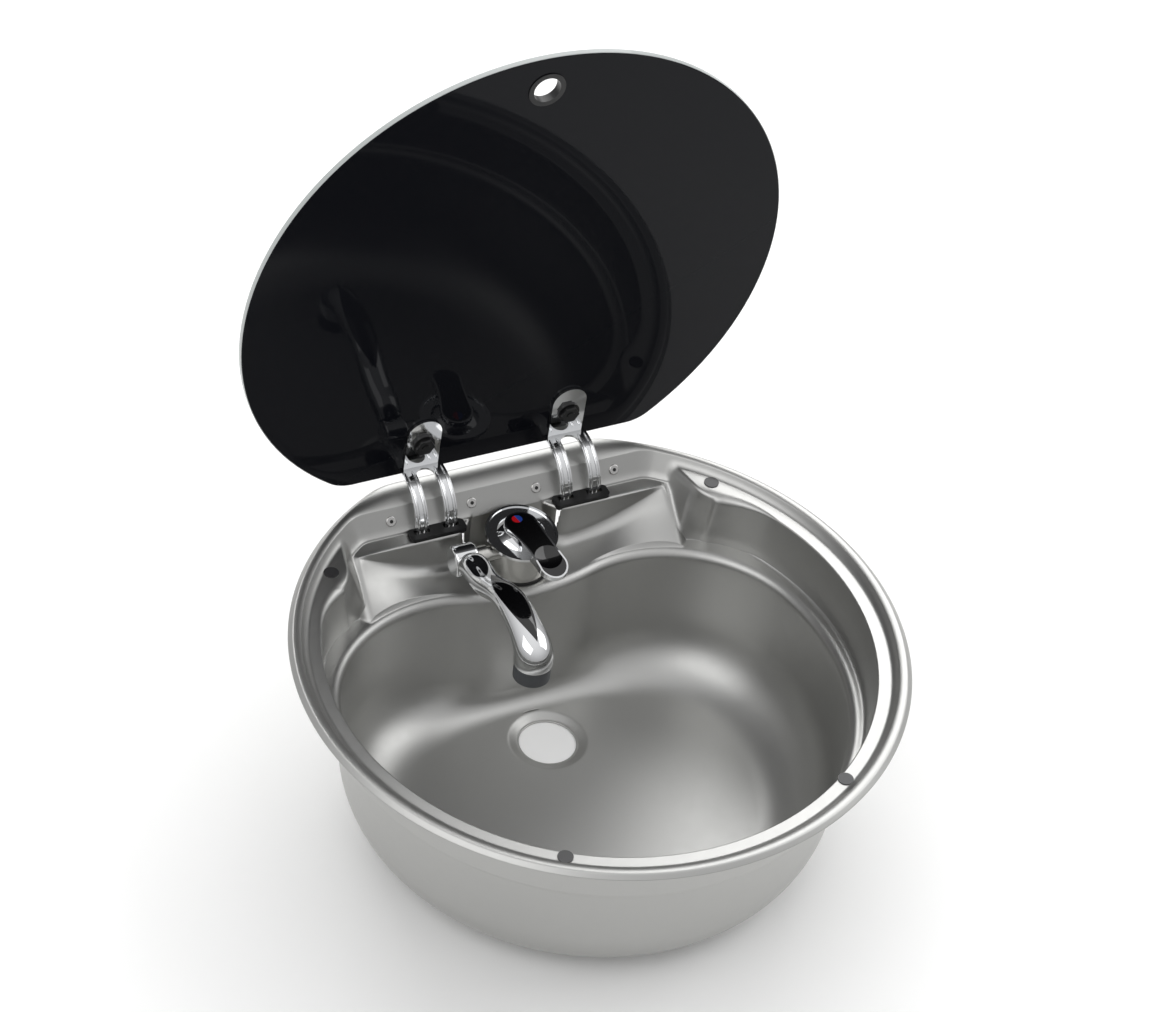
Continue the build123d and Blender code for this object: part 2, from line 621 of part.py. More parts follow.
def make_hinge_strap(side):
    """Tongue under the glass, a bridge, and two arms round the hinge axis to a barrel, drawn shut."""
    start = on_arc(ARM_OUTER, STRAP_TOP)
    start_inner = on_arc(ARM_INNER, STRAP_TOP)
    end = start + ARM_SWEEP
    strap = arm_band(start_inner, start, end, STRAP_HALF)
    arch_middle = start + arc_angle(ARCH_START + ARM_GAP / 2, ARM_OUTER)
    y, z = about_pivot(ARM_OUTER, arch_middle)
    strap -= Pos(0, y, z) * Rot(arch_middle, 0, 0) * Rot(-90, 0, 0) * Cylinder(ARM_GAP / 2, 4 * ARM_THICK)
    gap_face = make_face(
        Polyline(
            (PIVOT_Y, PIVOT_Z),
            about_pivot(2 * ARM_OUTER, arch_middle),
            about_pivot(2 * ARM_OUTER, arch_middle + ARM_GAP_SWEEP),
            about_pivot(2 * ARM_OUTER, end + ARM_END_SWEEP),
            close=True,
        )
    )
    strap -= Pos(-ARM_GAP / 2, 0, 0) * extrude(Plane.YZ * gap_face, ARM_GAP)

    tongue_end_y = GLASS_REAR_Y - TONGUE_END
    bend_y = about_pivot(ARM_INNER, start_inner)[0]
    tongue = Box(TONGUE_WIDTH, bend_y - tongue_end_y, TONGUE_THICK)
    tongue = Pos(0, (bend_y + tongue_end_y) / 2, STRAP_TOP - TONGUE_THICK / 2) * tongue
    tongue = fillet(tongue.edges().filter_by(Axis.Z).group_by(Axis.Y)[0], TONGUE_WIDTH / 2 - HOLE_PLAY)
    tongue -= upright(BOLT_RADIUS + CLEAR, STRAP_FOOT, STRAP_TOP, 0, BOLT_Y)

    web_angle = end - arc_angle(WEB_THICK / 2, ARM_OUTER)
    web_length = ARM_OUTER - ARM_THICK / 2
    for arm in (-1, 1):
        web = Pos(arm * (ARM_GAP + ARM_WIDTH) / 2, web_length / 2, 0) * Box(ARM_WIDTH, web_length, WEB_THICK)
        strap += Pos(0, PIVOT_Y, PIVOT_Z) * Rot(web_angle, 0, 0) * web
    barrel = along_x(PIN_RADIUS + RUNNING + BARREL_WALL, -STRAP_HALF, STRAP_HALF, PIVOT_Y, PIVOT_Z)
    bore = along_x(PIN_RADIUS + RUNNING, -STRAP_HALF, STRAP_HALF, PIVOT_Y, PIVOT_Z)
    return opened(Pos(side * HINGE_X, 0, 0) * (strap + tongue + barrel - bore))


def make_strap_pad(side):
    length = TONGUE_END - BOLT_FROM_EDGE
    pad = Pos(0, BOLT_Y, STRAP_TOP + STRAP_PAD_THICK / 2) * Cylinder(TONGUE_WIDTH / 2, STRAP_PAD_THICK)
    pad += Pos(0, BOLT_Y + length / 2 - TONGUE_WIDTH / 4, STRAP_TOP + STRAP_PAD_THICK / 2) * Box(
        TONGUE_WIDTH, length - TONGUE_WIDTH / 2, STRAP_PAD_THICK
    )
    pad -= upright(BOLT_RADIUS + CLEAR, STRAP_TOP, UNDER_GLASS, 0, BOLT_Y)
    return opened(Pos(side * HINGE_X, 0, 0) * pad)


def make_lid_bolt(side):
    head_foot = TOP_OF_GLASS + WASHER_THICK
    head_top = head_foot + BOLT_HEAD_THICK
    head = upright(BOLT_HEAD_RADIUS, head_foot, head_top)
    head = fillet(head.edges().sort_by(Axis.Z)[-1], BOLT_HEAD_THICK / 2)
    socket = extrude(RegularPolygon(BOLT_SOCKET_FLATS / 2, 6, major_radius=False), BOLT_SOCKET_DEPTH)
    head -= Pos(0, 0, head_top - BOLT_SOCKET_DEPTH) * socket
    shank = upright(BOLT_RADIUS, STRAP_FOOT - NUT_THICK - BOLT_END, head_foot)
    return opened(Pos(side * HINGE_X, BOLT_Y, 0) * (head + shank))


def make_lid_washer(side):
    washer = upright(BOLT_HEAD_RADIUS, TOP_OF_GLASS, TOP_OF_GLASS + WASHER_THICK)
    washer -= upright(BOLT_RADIUS + HOLE_PLAY, TOP_OF_GLASS, TOP_OF_GLASS + WASHER_THICK)
    return opened(Pos(side * HINGE_X, BOLT_Y, 0) * washer)


def make_lid_nut(side):
    nut = extrude(RegularPolygon(NUT_FLATS / 2, 6, major_radius=False), NUT_THICK)
    nut = Pos(0, 0, STRAP_FOOT - NUT_THICK) * nut
    nut += upright(NUT_FLANGE_RADIUS, STRAP_FOOT - NUT_FLANGE_THICK, STRAP_FOOT)
    nut -= upright(BOLT_RADIUS + SNUG, STRAP_FOOT - NUT_THICK, STRAP_FOOT)
    return opened(Pos(side * HINGE_X, BOLT_Y, 0) * nut)


def bezel_block(side, inset, height, foot):
    """Rounded block where the shelf is slotted, smaller all round by inset; foot is above the shelf."""
    middle_y = SLOPE_FOOT_Y - CLEAR - BEZEL_DEPTH / 2
    plan = RectangleRounded(BEZEL_LENGTH - 2 * inset, BEZEL_DEPTH - 2 * inset, BEZEL_CORNER - inset)
    return Pos(side * HINGE_X, middle_y, level(SHELF_DROP) + foot) * extrude(plan, height)


def make_slot_bezel(side):
    """Plug in the shelf's slot, with a slot of its own for each arm of the strap."""
    collar_depth = SHEET + BEZEL_COLLAR_DEPTH
    height = collar_depth + BEZEL_THICK
    bezel = bezel_block(side, 0, BEZEL_THICK, 0)
    bezel += bezel_block(side, BEZEL_BORDER + HOLE_PLAY, collar_depth, -collar_depth)
    slot_y = SLOPE_FOOT_Y - CLEAR - BEZEL_SLOT_TO_REAR - BEZEL_SLOT_DEPTH / 2
    slot_z = level(SHELF_DROP) - collar_depth + height / 2
    for arm in (-1, 1):
        slot_x = side * HINGE_X + arm * (ARM_GAP + ARM_WIDTH) / 2
        bezel -= Pos(slot_x, slot_y, slot_z) * Box(ARM_WIDTH + 2 * BEZEL_SLOT_PLAY, BEZEL_SLOT_DEPTH, height)
    return bezel


def slope_back(drop, depth):
    """Place in the Y-Z plane this far behind the slope's visible face."""
    return (slope_y(drop) + depth * SLOPE_STRETCH, level(drop))


def rivet_places(side):
    """Rivet centres on the slope, with Z along the rivet and out of the slope."""
    run = RECESS_REAR_Y - SLOPE_FOOT_Y
    lean = degrees(atan2(SHELF_DROP, run))
    y, z = slope_back(RIVET_DROP, 0)
    return [Pos(side * HINGE_X + spread, y, z) * Rot(lean, 0, 0) for spread in (-RIVET_SPREAD, RIVET_SPREAD)]


def make_hinge_bracket(side):
    """Plate behind the slope with two ears that hold the hinge pin."""
    front = [slope_back(drop, SHEET) for drop in (BRACKET_TOP_DROP, BRACKET_FOOT_DROP)]
    back = [slope_back(drop, SHEET + BRACKET_THICK) for drop in (BRACKET_FOOT_DROP, BRACKET_TOP_DROP)]
    plate = side_prism(front + back, -BRACKET_WIDTH / 2, BRACKET_WIDTH / 2)
    ear_outline = [front[0], (PIVOT_Y, PIVOT_Z + EAR_ROUND), (PIVOT_Y, PIVOT_Z - EAR_ROUND), front[1]]
    for x in (-EAR_X - BRACKET_THICK, EAR_X):
        plate += side_prism(ear_outline, x, x + BRACKET_THICK)
        plate += along_x(EAR_ROUND, x, x + BRACKET_THICK, PIVOT_Y, PIVOT_Z)
    plate -= along_x(PIN_RADIUS + SNUG, -BRACKET_WIDTH, BRACKET_WIDTH, PIVOT_Y, PIVOT_Z)
    bracket = Pos(side * HINGE_X, 0, 0) * plate
    for place in rivet_places(side):
        bracket -= place * Cylinder(RIVET_RADIUS + SNUG, 4 * (SHEET + BRACKET_THICK))
    return bracket


def make_hinge_pin(side):
    end = EAR_X + BRACKET_THICK + PIN_HEAD_THICK
    pin = along_x(PIN_RADIUS, -end, end, 0, 0)
    for x in (-end, end - PIN_HEAD_THICK):
        pin += along_x(PIN_HEAD_RADIUS, x, x + PIN_HEAD_THICK, 0, 0)
    return Pos(side * HINGE_X, PIVOT_Y, PIVOT_Z) * pin


def make_friction_washers(side):
    washers = []
    for x in (-STRAP_HALF - HOLE_PLAY - FRICTION_WASHER_THICK, STRAP_HALF + HOLE_PLAY):
        washer = along_x(FRICTION_WASHER_RADIUS, x, x + FRICTION_WASHER_THICK, PIVOT_Y, PIVOT_Z)
        washer -= along_x(PIN_RADIUS + SNUG, x, x + FRICTION_WASHER_THICK, PIVOT_Y, PIVOT_Z)
        washers.append(Pos(side * HINGE_X, 0, 0) * washer)
    return washers


def make_hinge_rivets(side):
    grip = SHEET + BRACKET_THICK + SNUG
    head = upright(RIVET_HEAD_RADIUS, 0, RIVET_HEAD_THICK)
    head = fillet(head.edges().sort_by(Axis.Z)[-1], RIVET_HEAD_THICK * 0.8)
    rivet = head + upright(RIVET_RADIUS, -grip - RIVET_BULB_LENGTH, 0)
    rivet += upright(RIVET_BULB_RADIUS, -grip - RIVET_BULB_LENGTH, -grip)
    rivet -= upright(RIVET_EYE_RADIUS, RIVET_HEAD_THICK / 4, RIVET_HEAD_THICK)
    return [place * rivet for place in rivet_places(side)]


# ---- tap -----------------------------------------------------------------------------------------
TAP_TOP = level(TAP_TOP_DROP)
TAP_FOOT = level(DECK_DROP) + TAP_GASKET_THICK
SHANK_END = level(DECK_DROP) - SHANK_LENGTH
CARTRIDGE_TOP = TAP_TOP - CARTRIDGE_NUT_THICK
CARTRIDGE_FOOT = CARTRIDGE_TOP - CARTRIDGE_HEIGHT
SPOUT_RIGHT = SPOUT_X + SPOUT_BARREL_HALF
STUB_END = SPOUT_X - SPOUT_BARREL_HALF + STUB_END_WALL + CLEAR
SCREW_X = SPOUT_X - SPOUT_BARREL_HALF / 2


def on_tap(solid):
    return Pos(0, TAP_Y, 0) * solid


def stub(radius, x_low, x_high):
    """Cylinder on the spout's axis."""
    return along_x(radius, x_low, x_high, STUB_Y, level(STUB_DROP))


def ring_places():
    """Left edge of each groove for a sealing ring in the stub."""
    return [SPOUT_X + SPOUT_BARREL_HALF / 2 - RING_WIDTH / 2 + step * RING_SPACING for step in (-1, 0)]


def inlet_places():
    return [(side * INLET_OFFSET, TAP_Y) for side in (-1, 1)]


def make_tap_gasket():
    gasket = upright(TAP_GASKET_RADIUS, level(DECK_DROP), TAP_FOOT)
    return on_tap(gasket - upright(SHANK_RADIUS + CLEAR, level(DECK_DROP), TAP_FOOT))


def make_tap_body():
    body = upright(TAP_RADIUS, TAP_FOOT, TAP_TOP)
    body = fillet(body.edges().sort_by(Axis.Z)[-1], 1.0)
    body += upright(SHANK_RADIUS, SHANK_END, TAP_FOOT)
    body -= upright(CARTRIDGE_RADIUS + RUNNING, CARTRIDGE_FOOT, TAP_TOP)
    body -= upright(SHANK_BORE, SHANK_END, CARTRIDGE_FOOT - TAP_FLOOR_THICK)
    body = on_tap(body)
    arm = stub(STUB_RADIUS, STUB_END, -CARTRIDGE_RADIUS - RUNNING - 1)
    arm += stub(STUB_COLLAR_RADIUS, SPOUT_RIGHT + CLEAR, SPOUT_RIGHT + CLEAR + STUB_COLLAR_LENGTH)
    for x in ring_places():
        arm -= stub(STUB_RADIUS + 1, x, x + RING_WIDTH) - stub(STUB_RADIUS - RING_DEPTH, x, x + RING_WIDTH)
    half_slot = SET_SCREW_RADIUS + HOLE_PLAY
    slot = stub(STUB_RADIUS + 1, SCREW_X - half_slot, SCREW_X + half_slot)
    arm -= slot - stub(STUB_RADIUS - RING_DEPTH, SCREW_X - half_slot, SCREW_X + half_slot)
    body += arm - on_tap(upright(CARTRIDGE_RADIUS + RUNNING, CARTRIDGE_FOOT, TAP_TOP))
    for x, y in inlet_places():
        body -= upright(INLET_RADIUS + SNUG, CARTRIDGE_FOOT - TAP_FLOOR_THICK, CARTRIDGE_FOOT, x, y)
    return body


def make_spout_o_rings():
    rings = []
    for x in ring_places():
        ring = stub(STUB_RADIUS, x + SNUG, x + RING_WIDTH - SNUG)
        rings.append(ring - stub(STUB_RADIUS - RING_DEPTH + SNUG, x, x + RING_WIDTH))
    return rings


def make_tap_clamp_washer():
    top = level(DECK_DROP + SHEET)
    washer = upright(TAP_NUT_RADIUS, top - CLAMP_WASHER_THICK, top)
    return on_tap(washer - upright(SHANK_RADIUS + CLEAR, top - CLAMP_WASHER_THICK, top))


def make_tap_nut():
    top = level(DECK_DROP + SHEET) - CLAMP_WASHER_THICK
    nut = extrude(RegularPolygon(TAP_NUT_RADIUS, 6), -TAP_NUT_THICK)
    nut = Pos(0, 0, top) * nut
    return on_tap(nut - upright(SHANK_RADIUS + SNUG, top - TAP_NUT_THICK, top))


def make_inlet(side):
    """Hose tail under the tap, with a collar that stops the hose."""
    foot = SHANK_END - INLET_LENGTH
    collar_foot = SHANK_END - INLET_COLLAR_LENGTH
    tail = upright(INLET_RADIUS, SHANK_END, CARTRIDGE_FOOT - SNUG)
    tail += upright(INLET_COLLAR_RADIUS, collar_foot, SHANK_END)
    tail += upright(INLET_TAIL_RADIUS, foot, collar_foot)
    tail -= upright(INLET_BORE, foot, CARTRIDGE_FOOT)
    return Pos(side * INLET_OFFSET, TAP_Y, 0) * tail


def make_cartridge():
    cartridge = upright(CARTRIDGE_RADIUS, CARTRIDGE_FOOT, CARTRIDGE_TOP)
    cartridge -= upright(SPINDLE_RADIUS + RUNNING, CARTRIDGE_TOP - SPINDLE_DEPTH - CLEAR, CARTRIDGE_TOP)
    return on_tap(cartridge)


def make_cartridge_nut():
    nut = upright(CARTRIDGE_RADIUS, CARTRIDGE_TOP, TAP_TOP)
    return on_tap(nut - upright(CARTRIDGE_NUT_BORE, CARTRIDGE_TOP, TAP_TOP))


# ---- lever ---------------------------------------------------------------------------------------
LEVER_PIVOT = Pos(0, TAP_Y, level(LEVER_DROP)) * Rot(0, 0, LEVER_TURN)
LEVER_PLACE = LEVER_PIVOT * Rot(LEVER_TILT, 0, 0)


def make_spindle():
    spindle = on_tap(upright(SPINDLE_RADIUS, CARTRIDGE_TOP - SPINDLE_DEPTH, level(LEVER_DROP) + SPINDLE_RISE))
    spindle = fillet(spindle.edges().sort_by(Axis.Z)[-1], SPINDLE_ROUND)
    return spindle - LEVER_PIVOT * along_x(LEVER_PIN_RADIUS + SNUG, -HUB_RADIUS, HUB_RADIUS, 0, 0)


def make_lever_pin():
    return LEVER_PIVOT * along_x(LEVER_PIN_RADIUS, -LEVER_PIN_HALF, LEVER_PIN_HALF, 0, 0)


def lever_plan(inset):
    """Outline of the lever from above, with its tip towards -Y."""
    back_half = LEVER_BACK_HALF - inset
    tip_half = LEVER_TIP_HALF - inset
    back_y = LEVER_BACK - LEVER_BACK_HALF
    tip_y = LEVER_TIP_HALF - LEVER_REACH
    waist = LEVER_WAIST_HALF - inset
    return make_face(
        [
            ThreePointArc((back_half, back_y), (0, back_y + back_half), (-back_half, back_y)),
            ThreePointArc((-back_half, back_y), (-waist, LEVER_WAIST_Y), (-tip_half, tip_y)),
            ThreePointArc((-tip_half, tip_y), (0, tip_y - tip_half), (tip_half, tip_y)),
            ThreePointArc((tip_half, tip_y), (waist, LEVER_WAIST_Y), (back_half, back_y)),
        ]
    )


def lever_top(lower):
    """Curved top line of the lever, from its back to its tip, lowered."""
    back = (LEVER_BACK + 1, LEVER_BACK_HEIGHT - lower)
    crest = (LEVER_CREST[0], LEVER_CREST[1] - lower)
    return ThreePointArc(back, crest, (-LEVER_REACH - 1, LEVER_TIP_HEIGHT - lower))


def lever_side(lower):
    """Side outline of the lever over its whole width, with its top lowered."""
    top = lever_top(lower)
    under = [(-LEVER_REACH - 1, -lower), (-LEVER_REACH * 0.6, LEVER_UNDERCUT - lower), (-HUB_RADIUS, -lower)]
    underside = Polyline(top @ 1, *under, (LEVER_BACK + 1, -lower), top @ 0)
    face = make_face([top, underside])
    return Pos(-DISH_RADIUS, 0, 0) * extrude(Plane.YZ * face, 2 * DISH_RADIUS)


def lever_layer(inset, thick):
    """Top layer of the lever inside a border."""
    outline = extrude(lever_plan(inset), 2 * HUB_RISE)
    return outline & (lever_side(0) - lever_side(thick))


def thumb_ball():
    """Ball that presses the shallow thumb recess into the insert."""
    arc = lever_top(0)
    top = arc.arc_center.Y + sqrt(arc.radius**2 - (THUMB_Y - arc.arc_center.X) ** 2)
    return Pos(0, THUMB_Y, top + THUMB_RADIUS - THUMB_DEPTH) * Sphere(THUMB_RADIUS)


def mark_disc():
    return upright(MARK_RADIUS, 0, 3 * HUB_RISE, 0, MARK_BACK) & (lever_side(0) - lever_side(MARK_THICK))


def in_lever(solid):
    """Place a piece drawn with Z = 0 on the dish floor's underside."""
    return LEVER_PLACE * Pos(0, 0, -DISH_BELOW_PIVOT) * solid


def make_lever():
    """Dish, domed hub and arm in one casting."""
    dish = upright(DISH_RADIUS, -DISH_FLOOR / 2, DISH_LIP_HEIGHT - DISH_FLOOR / 2)
    dish -= upright(DISH_RADIUS - DISH_LIP_WIDTH, DISH_FLOOR / 2, DISH_LIP_HEIGHT)
    ball_radius = (HUB_RADIUS**2 + HUB_RISE**2) / (2 * HUB_RISE)
    hub = Pos(0, 0, HUB_RISE - ball_radius) * Sphere(ball_radius)
    hub &= upright(HUB_RADIUS, 0, HUB_RISE)
    arm = extrude(lever_plan(0), 2 * HUB_RISE) & lever_side(0)
    lever = dish + hub + arm - lever_layer(LEVER_BORDER, INSERT_THICK)
    lever -= upright(HUB_BORE, -DISH_FLOOR, DISH_BELOW_PIVOT + SPINDLE_RISE + HUB_BORE_PLAY)
    pin_end = LEVER_PIN_HALF + CLEAR
    lever -= along_x(LEVER_PIN_RADIUS + RUNNING, -pin_end, pin_end, 0, DISH_BELOW_PIVOT)
    return in_lever(lever)


def make_lever_insert():
    return in_lever(lever_layer(LEVER_BORDER, INSERT_THICK) - thumb_ball() - mark_disc())


def make_mark(side):
    """Half of the round hot and cold mark."""
    half = Pos(side * BIG / 2, 0, 0) * Box(BIG, BIG, BIG)
    return in_lever(mark_disc() & half)


# ---- spout ---------------------------------------------------------------------------------------
def arm_y(share):
    """Where this share of the nozzle's reach lies."""
    return TAP_Y - share * NOZZLE_REACH


def spout_section(share, drop, slope, half_width, half_height):
    """Oval section square to the run of the arm."""
    run = (0, -cos(radians(slope)), sin(radians(slope)))
    plane = Plane(origin=(SPOUT_X, arm_y(share), level(drop)), x_dir=(1, 0, 0), z_dir=run)
    return plane * Ellipse(half_width, half_height)


def spout_form():
    """Outside of the spout above the nozzle ring."""
    mouth = Plane(origin=(SPOUT_X, NOZZLE_Y, level(NOZZLE_SEAM_DROP)), x_dir=(1, 0, 0), z_dir=(0, 0, -1))
    sections = [spout_section(*row) for row in SPOUT_SECTIONS] + [mouth * Circle(NOZZLE_RADIUS)]
    barrel = stub(SPOUT_BARREL_RADIUS, SPOUT_X - SPOUT_BARREL_HALF, SPOUT_RIGHT)
    barrel = fillet(barrel.edges().filter_by(GeomType.CIRCLE), SPOUT_BARREL_ROUND)
    return loft(sections) + barrel


def spout_insert_prism():
    """Teardrop outline from above, as a tall prism."""
    rear = (SPOUT_X, arm_y(SPOUT_INSERT_START_SHARE))
    front = (SPOUT_X, NOZZLE_Y - SPOUT_INSERT_PAST_NOZZLE)
    edges = []
    for side in (-1, 1):
        wide = (SPOUT_X + side * SPOUT_INSERT_HALF, arm_y(SPOUT_INSERT_WIDEST_SHARE))
        edges.append(TangentArc(wide, rear, tangent=(0, 1)))
        edges.append(TangentArc(wide, front, tangent=(0, -1)))
    return Pos(0, 0, level(NOZZLE_SEAM_DROP)) * extrude(make_face(edges), 2 * DECK_DROP)


def rod(radius, start, end):
    """Round bar between two points."""
    line = Line(start, end)
    return extrude(Plane(origin=start, z_dir=line % 0) * Circle(radius), line.length)


def make_spout_pieces():
    form = spout_form()
    layer = form - Pos(0, 0, -INSERT_THICK) * form
    insert = layer & spout_insert_prism()
    insert = insert.solids().sort_by(SortBy.VOLUME)[-1]
    bore_end = SPOUT_X - SPOUT_BARREL_HALF + STUB_END_WALL
    bore = stub(STUB_RADIUS + RUNNING, bore_end, SPOUT_RIGHT + SPOUT_BARREL_HALF)
    chamber_top = level(NOZZLE_SEAM_DROP) + NOZZLE_SPIGOT + CLEAR
    chamber_radius = NOZZLE_RING_RADIUS - NOZZLE_WALL
    chamber = upright(chamber_radius, level(NOZZLE_SEAM_DROP), chamber_top, SPOUT_X, NOZZLE_Y)
    points = [(SPOUT_X, STUB_Y, level(STUB_DROP))]
    points += [(SPOUT_X, arm_y(row[0]), level(row[1])) for row in SPOUT_SECTIONS[3:5]]
    points += [(SPOUT_X, NOZZLE_Y, chamber_top - CLEAR)]
    spout = form - insert - bore - chamber
    for start, end in zip(points, points[1:]):
        spout -= rod(WATERWAY_RADIUS, start, end)
    screw = set_screw()
    spout -= screw_hole()
    return {"spout": spout, "spout_insert": insert, "spout_set_screw": screw}


def radial_rod(radius, near, far):
    """Round bar pointing at the spout's axis."""
    angle = radians(SET_SCREW_ANGLE)
    ends = [(SCREW_X, STUB_Y + r * cos(angle), level(STUB_DROP) + r * sin(angle)) for r in (near, far)]
    return rod(radius, *ends)


def set_screw():
    return radial_rod(SET_SCREW_RADIUS, STUB_RADIUS - RING_DEPTH + HOLE_PLAY, SPOUT_BARREL_RADIUS - CLEAR)


def screw_hole():
    return radial_rod(SET_SCREW_RADIUS + SNUG, STUB_RADIUS - RING_DEPTH, SPOUT_BARREL_RADIUS + CLEAR)


def make_spout_nozzle():
    seam = level(NOZZLE_SEAM_DROP)
    low = level(NOZZLE_DROP)
    spigot = NOZZLE_RING_RADIUS - NOZZLE_WALL - SNUG
    nozzle = upright(NOZZLE_RING_RADIUS, low, seam) + upright(spigot, seam, seam + NOZZLE_SPIGOT)
    nozzle -= upright(spigot - NOZZLE_WALL, low, seam + NOZZLE_SPIGOT)
    nozzle -= upright(spigot, low, low + AERATOR_THICK)
    return Pos(SPOUT_X, NOZZLE_Y, 0) * nozzle


def make_aerator():
    low = level(NOZZLE_DROP)
    radius = NOZZLE_RING_RADIUS - NOZZLE_WALL - 2 * SNUG
    aerator = upright(radius, low, low + AERATOR_THICK - SNUG)
    pitch = radius / 3
    for ring, count in enumerate(AERATOR_RINGS):
        for hole in PolarLocations(ring * pitch, count):
            aerator -= hole * upright(AERATOR_HOLE, low, low + AERATOR_THICK)
    return Pos(SPOUT_X, NOZZLE_Y, 0) * aerator


# ---- all pieces ----------------------------------------------------------------------------------
def make_nodes():
    nodes = {
        "bowl": make_bowl(),
        "rim_seal": make_rim_seal(),
        "lid_bumpers": make_lid_bumpers(),
        "lid_glass": make_lid_glass(),
        "finger_ring": make_finger_ring(),
    }
    for word, side in (("left", -1), ("right", 1)):
        nodes[f"hinge_strap_{word}"] = make_hinge_strap(side)
        nodes[f"strap_pad_{word}"] = make_strap_pad(side)
        nodes[f"lid_bolt_{word}"] = make_lid_bolt(side)
        nodes[f"lid_washer_{word}"] = make_lid_washer(side)
        nodes[f"lid_nut_{word}"] = make_lid_nut(side)
        nodes[f"slot_bezel_{word}"] = make_slot_bezel(side)
        nodes[f"hinge_bracket_{word}"] = make_hinge_bracket(side)
        nodes[f"hinge_pin_{word}"] = make_hinge_pin(side)
        nodes[f"friction_washers_{word}"] = make_friction_washers(side)
        nodes[f"hinge_rivets_{word}"] = make_hinge_rivets(side)
    nodes |= {
        "tap_gasket": make_tap_gasket(),
        "tap_body": make_tap_body(),
        "tap_clamp_washer": make_tap_clamp_washer(),
        "tap_nut": make_tap_nut(),
        "hot_inlet": make_inlet(-1),
        "cold_inlet": make_inlet(1),
        "cartridge": make_cartridge(),
        "cartridge_nut": make_cartridge_nut(),
        "spindle": make_spindle(),
        "lever_pin": make_lever_pin(),
        "lever": make_lever(),
        "lever_insert": make_lever_insert(),
        "hot_mark": make_mark(-1),
        "cold_mark": make_mark(1),
        "spout_o_rings": make_spout_o_rings(),
        "spout_nozzle": make_spout_nozzle(),
        "aerator": make_aerator(),
    }
    return nodes | make_spout_pieces()


def main():
    os.makedirs("parts", exist_ok=True)
    for name, shape in make_nodes().items():
        solids = shape if isinstance(shape, list) else shape.solids()
        body = Compound(children=list(solids)) if len(solids) > 1 else solids[0]
        export_step(body, f"parts/{name}.step")


if __name__ == "__main__":
    main()
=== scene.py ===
# %% [markdown]
# # Round vehicle sink with a glass lid
#
# A pressed steel bowl with a black glass lid standing open behind it and a folding mixer tap inside.
# The scene is in metres; the sizes of pressed and small shapes are written in millimetres. The origin is
# the centre of the round rim, in the plane of the worktop, with X to the right, Y to the rear and Z up.

# %% load the frame
import json
from math import atan2, cos, hypot, pi, radians, sin, sqrt, tan

import bpy
import numpy as np
from mathutils import Matrix, Vector


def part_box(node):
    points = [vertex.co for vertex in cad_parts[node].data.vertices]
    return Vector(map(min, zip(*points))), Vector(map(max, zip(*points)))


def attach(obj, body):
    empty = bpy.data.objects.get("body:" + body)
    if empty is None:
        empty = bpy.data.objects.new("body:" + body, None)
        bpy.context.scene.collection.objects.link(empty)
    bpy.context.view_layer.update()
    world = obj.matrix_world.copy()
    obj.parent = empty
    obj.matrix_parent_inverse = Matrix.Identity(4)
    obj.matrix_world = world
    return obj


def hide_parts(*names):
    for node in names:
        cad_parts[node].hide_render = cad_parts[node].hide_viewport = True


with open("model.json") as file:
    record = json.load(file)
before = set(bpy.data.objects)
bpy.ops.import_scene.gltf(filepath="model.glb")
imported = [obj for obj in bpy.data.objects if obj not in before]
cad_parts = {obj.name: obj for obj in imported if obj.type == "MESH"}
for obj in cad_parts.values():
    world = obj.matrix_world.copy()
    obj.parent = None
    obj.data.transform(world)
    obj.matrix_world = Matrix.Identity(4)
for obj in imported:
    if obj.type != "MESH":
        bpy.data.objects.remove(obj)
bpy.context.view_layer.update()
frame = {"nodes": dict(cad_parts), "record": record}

# %% [markdown]
# ## Colours
#
# Colours are written as they look on a screen, so one function turns them into the linear values
# that light is added up in.


# %% colour helpers
def linear(text):
    """Linear RGBA from a six-digit screen colour."""
    out = []
    for start in (0, 2, 4):
        value = int(text[start : start + 2], 16) / 255
        out.append(value / 12.92 if value <= 0.04045 else ((value + 0.055) / 1.055) ** 2.4)
    return (*out, 1.0)


print("middle grey:", [round(v, 3) for v in linear("808080")])

# %% [markdown]
# ## Materials
#
# Each material is named for the real one. A metal is metallic 1 with its own colour; a plastic, rubber
# or glass is metallic 0 with the index of refraction of the real stuff. Patterns are sized in
# millimetres and follow the object's own coordinates, in metres.


# %% material helpers
MM_PER_M = 1000


def add_node(tree, kind, links=(), **values):
    """Add one shader node, set its inputs and properties, and link its inputs."""
    node = tree.nodes.new(kind)
    for name, value in values.items():
        if hasattr(node, name):
            setattr(node, name, value)
        else:
            node.inputs[name.replace("_", " ")].default_value = value
    for name, source in links:
        tree.links.new(source, node.inputs[name])
    return node


def plain(name, colour, roughness, metallic=0.0, ior=None, coat=0.0):
    """A material with one colour and one roughness."""
    material = bpy.data.materials.new(name)
    material.use_nodes = True
    shader = material.node_tree.nodes["Principled BSDF"]
    shader.inputs["Base Color"].default_value = linear(colour)
    shader.inputs["Roughness"].default_value = roughness
    shader.inputs["Metallic"].default_value = metallic
    if ior:
        shader.inputs["IOR"].default_value = ior
    if coat:
        shader.inputs["Coat Weight"].default_value = coat
    return material


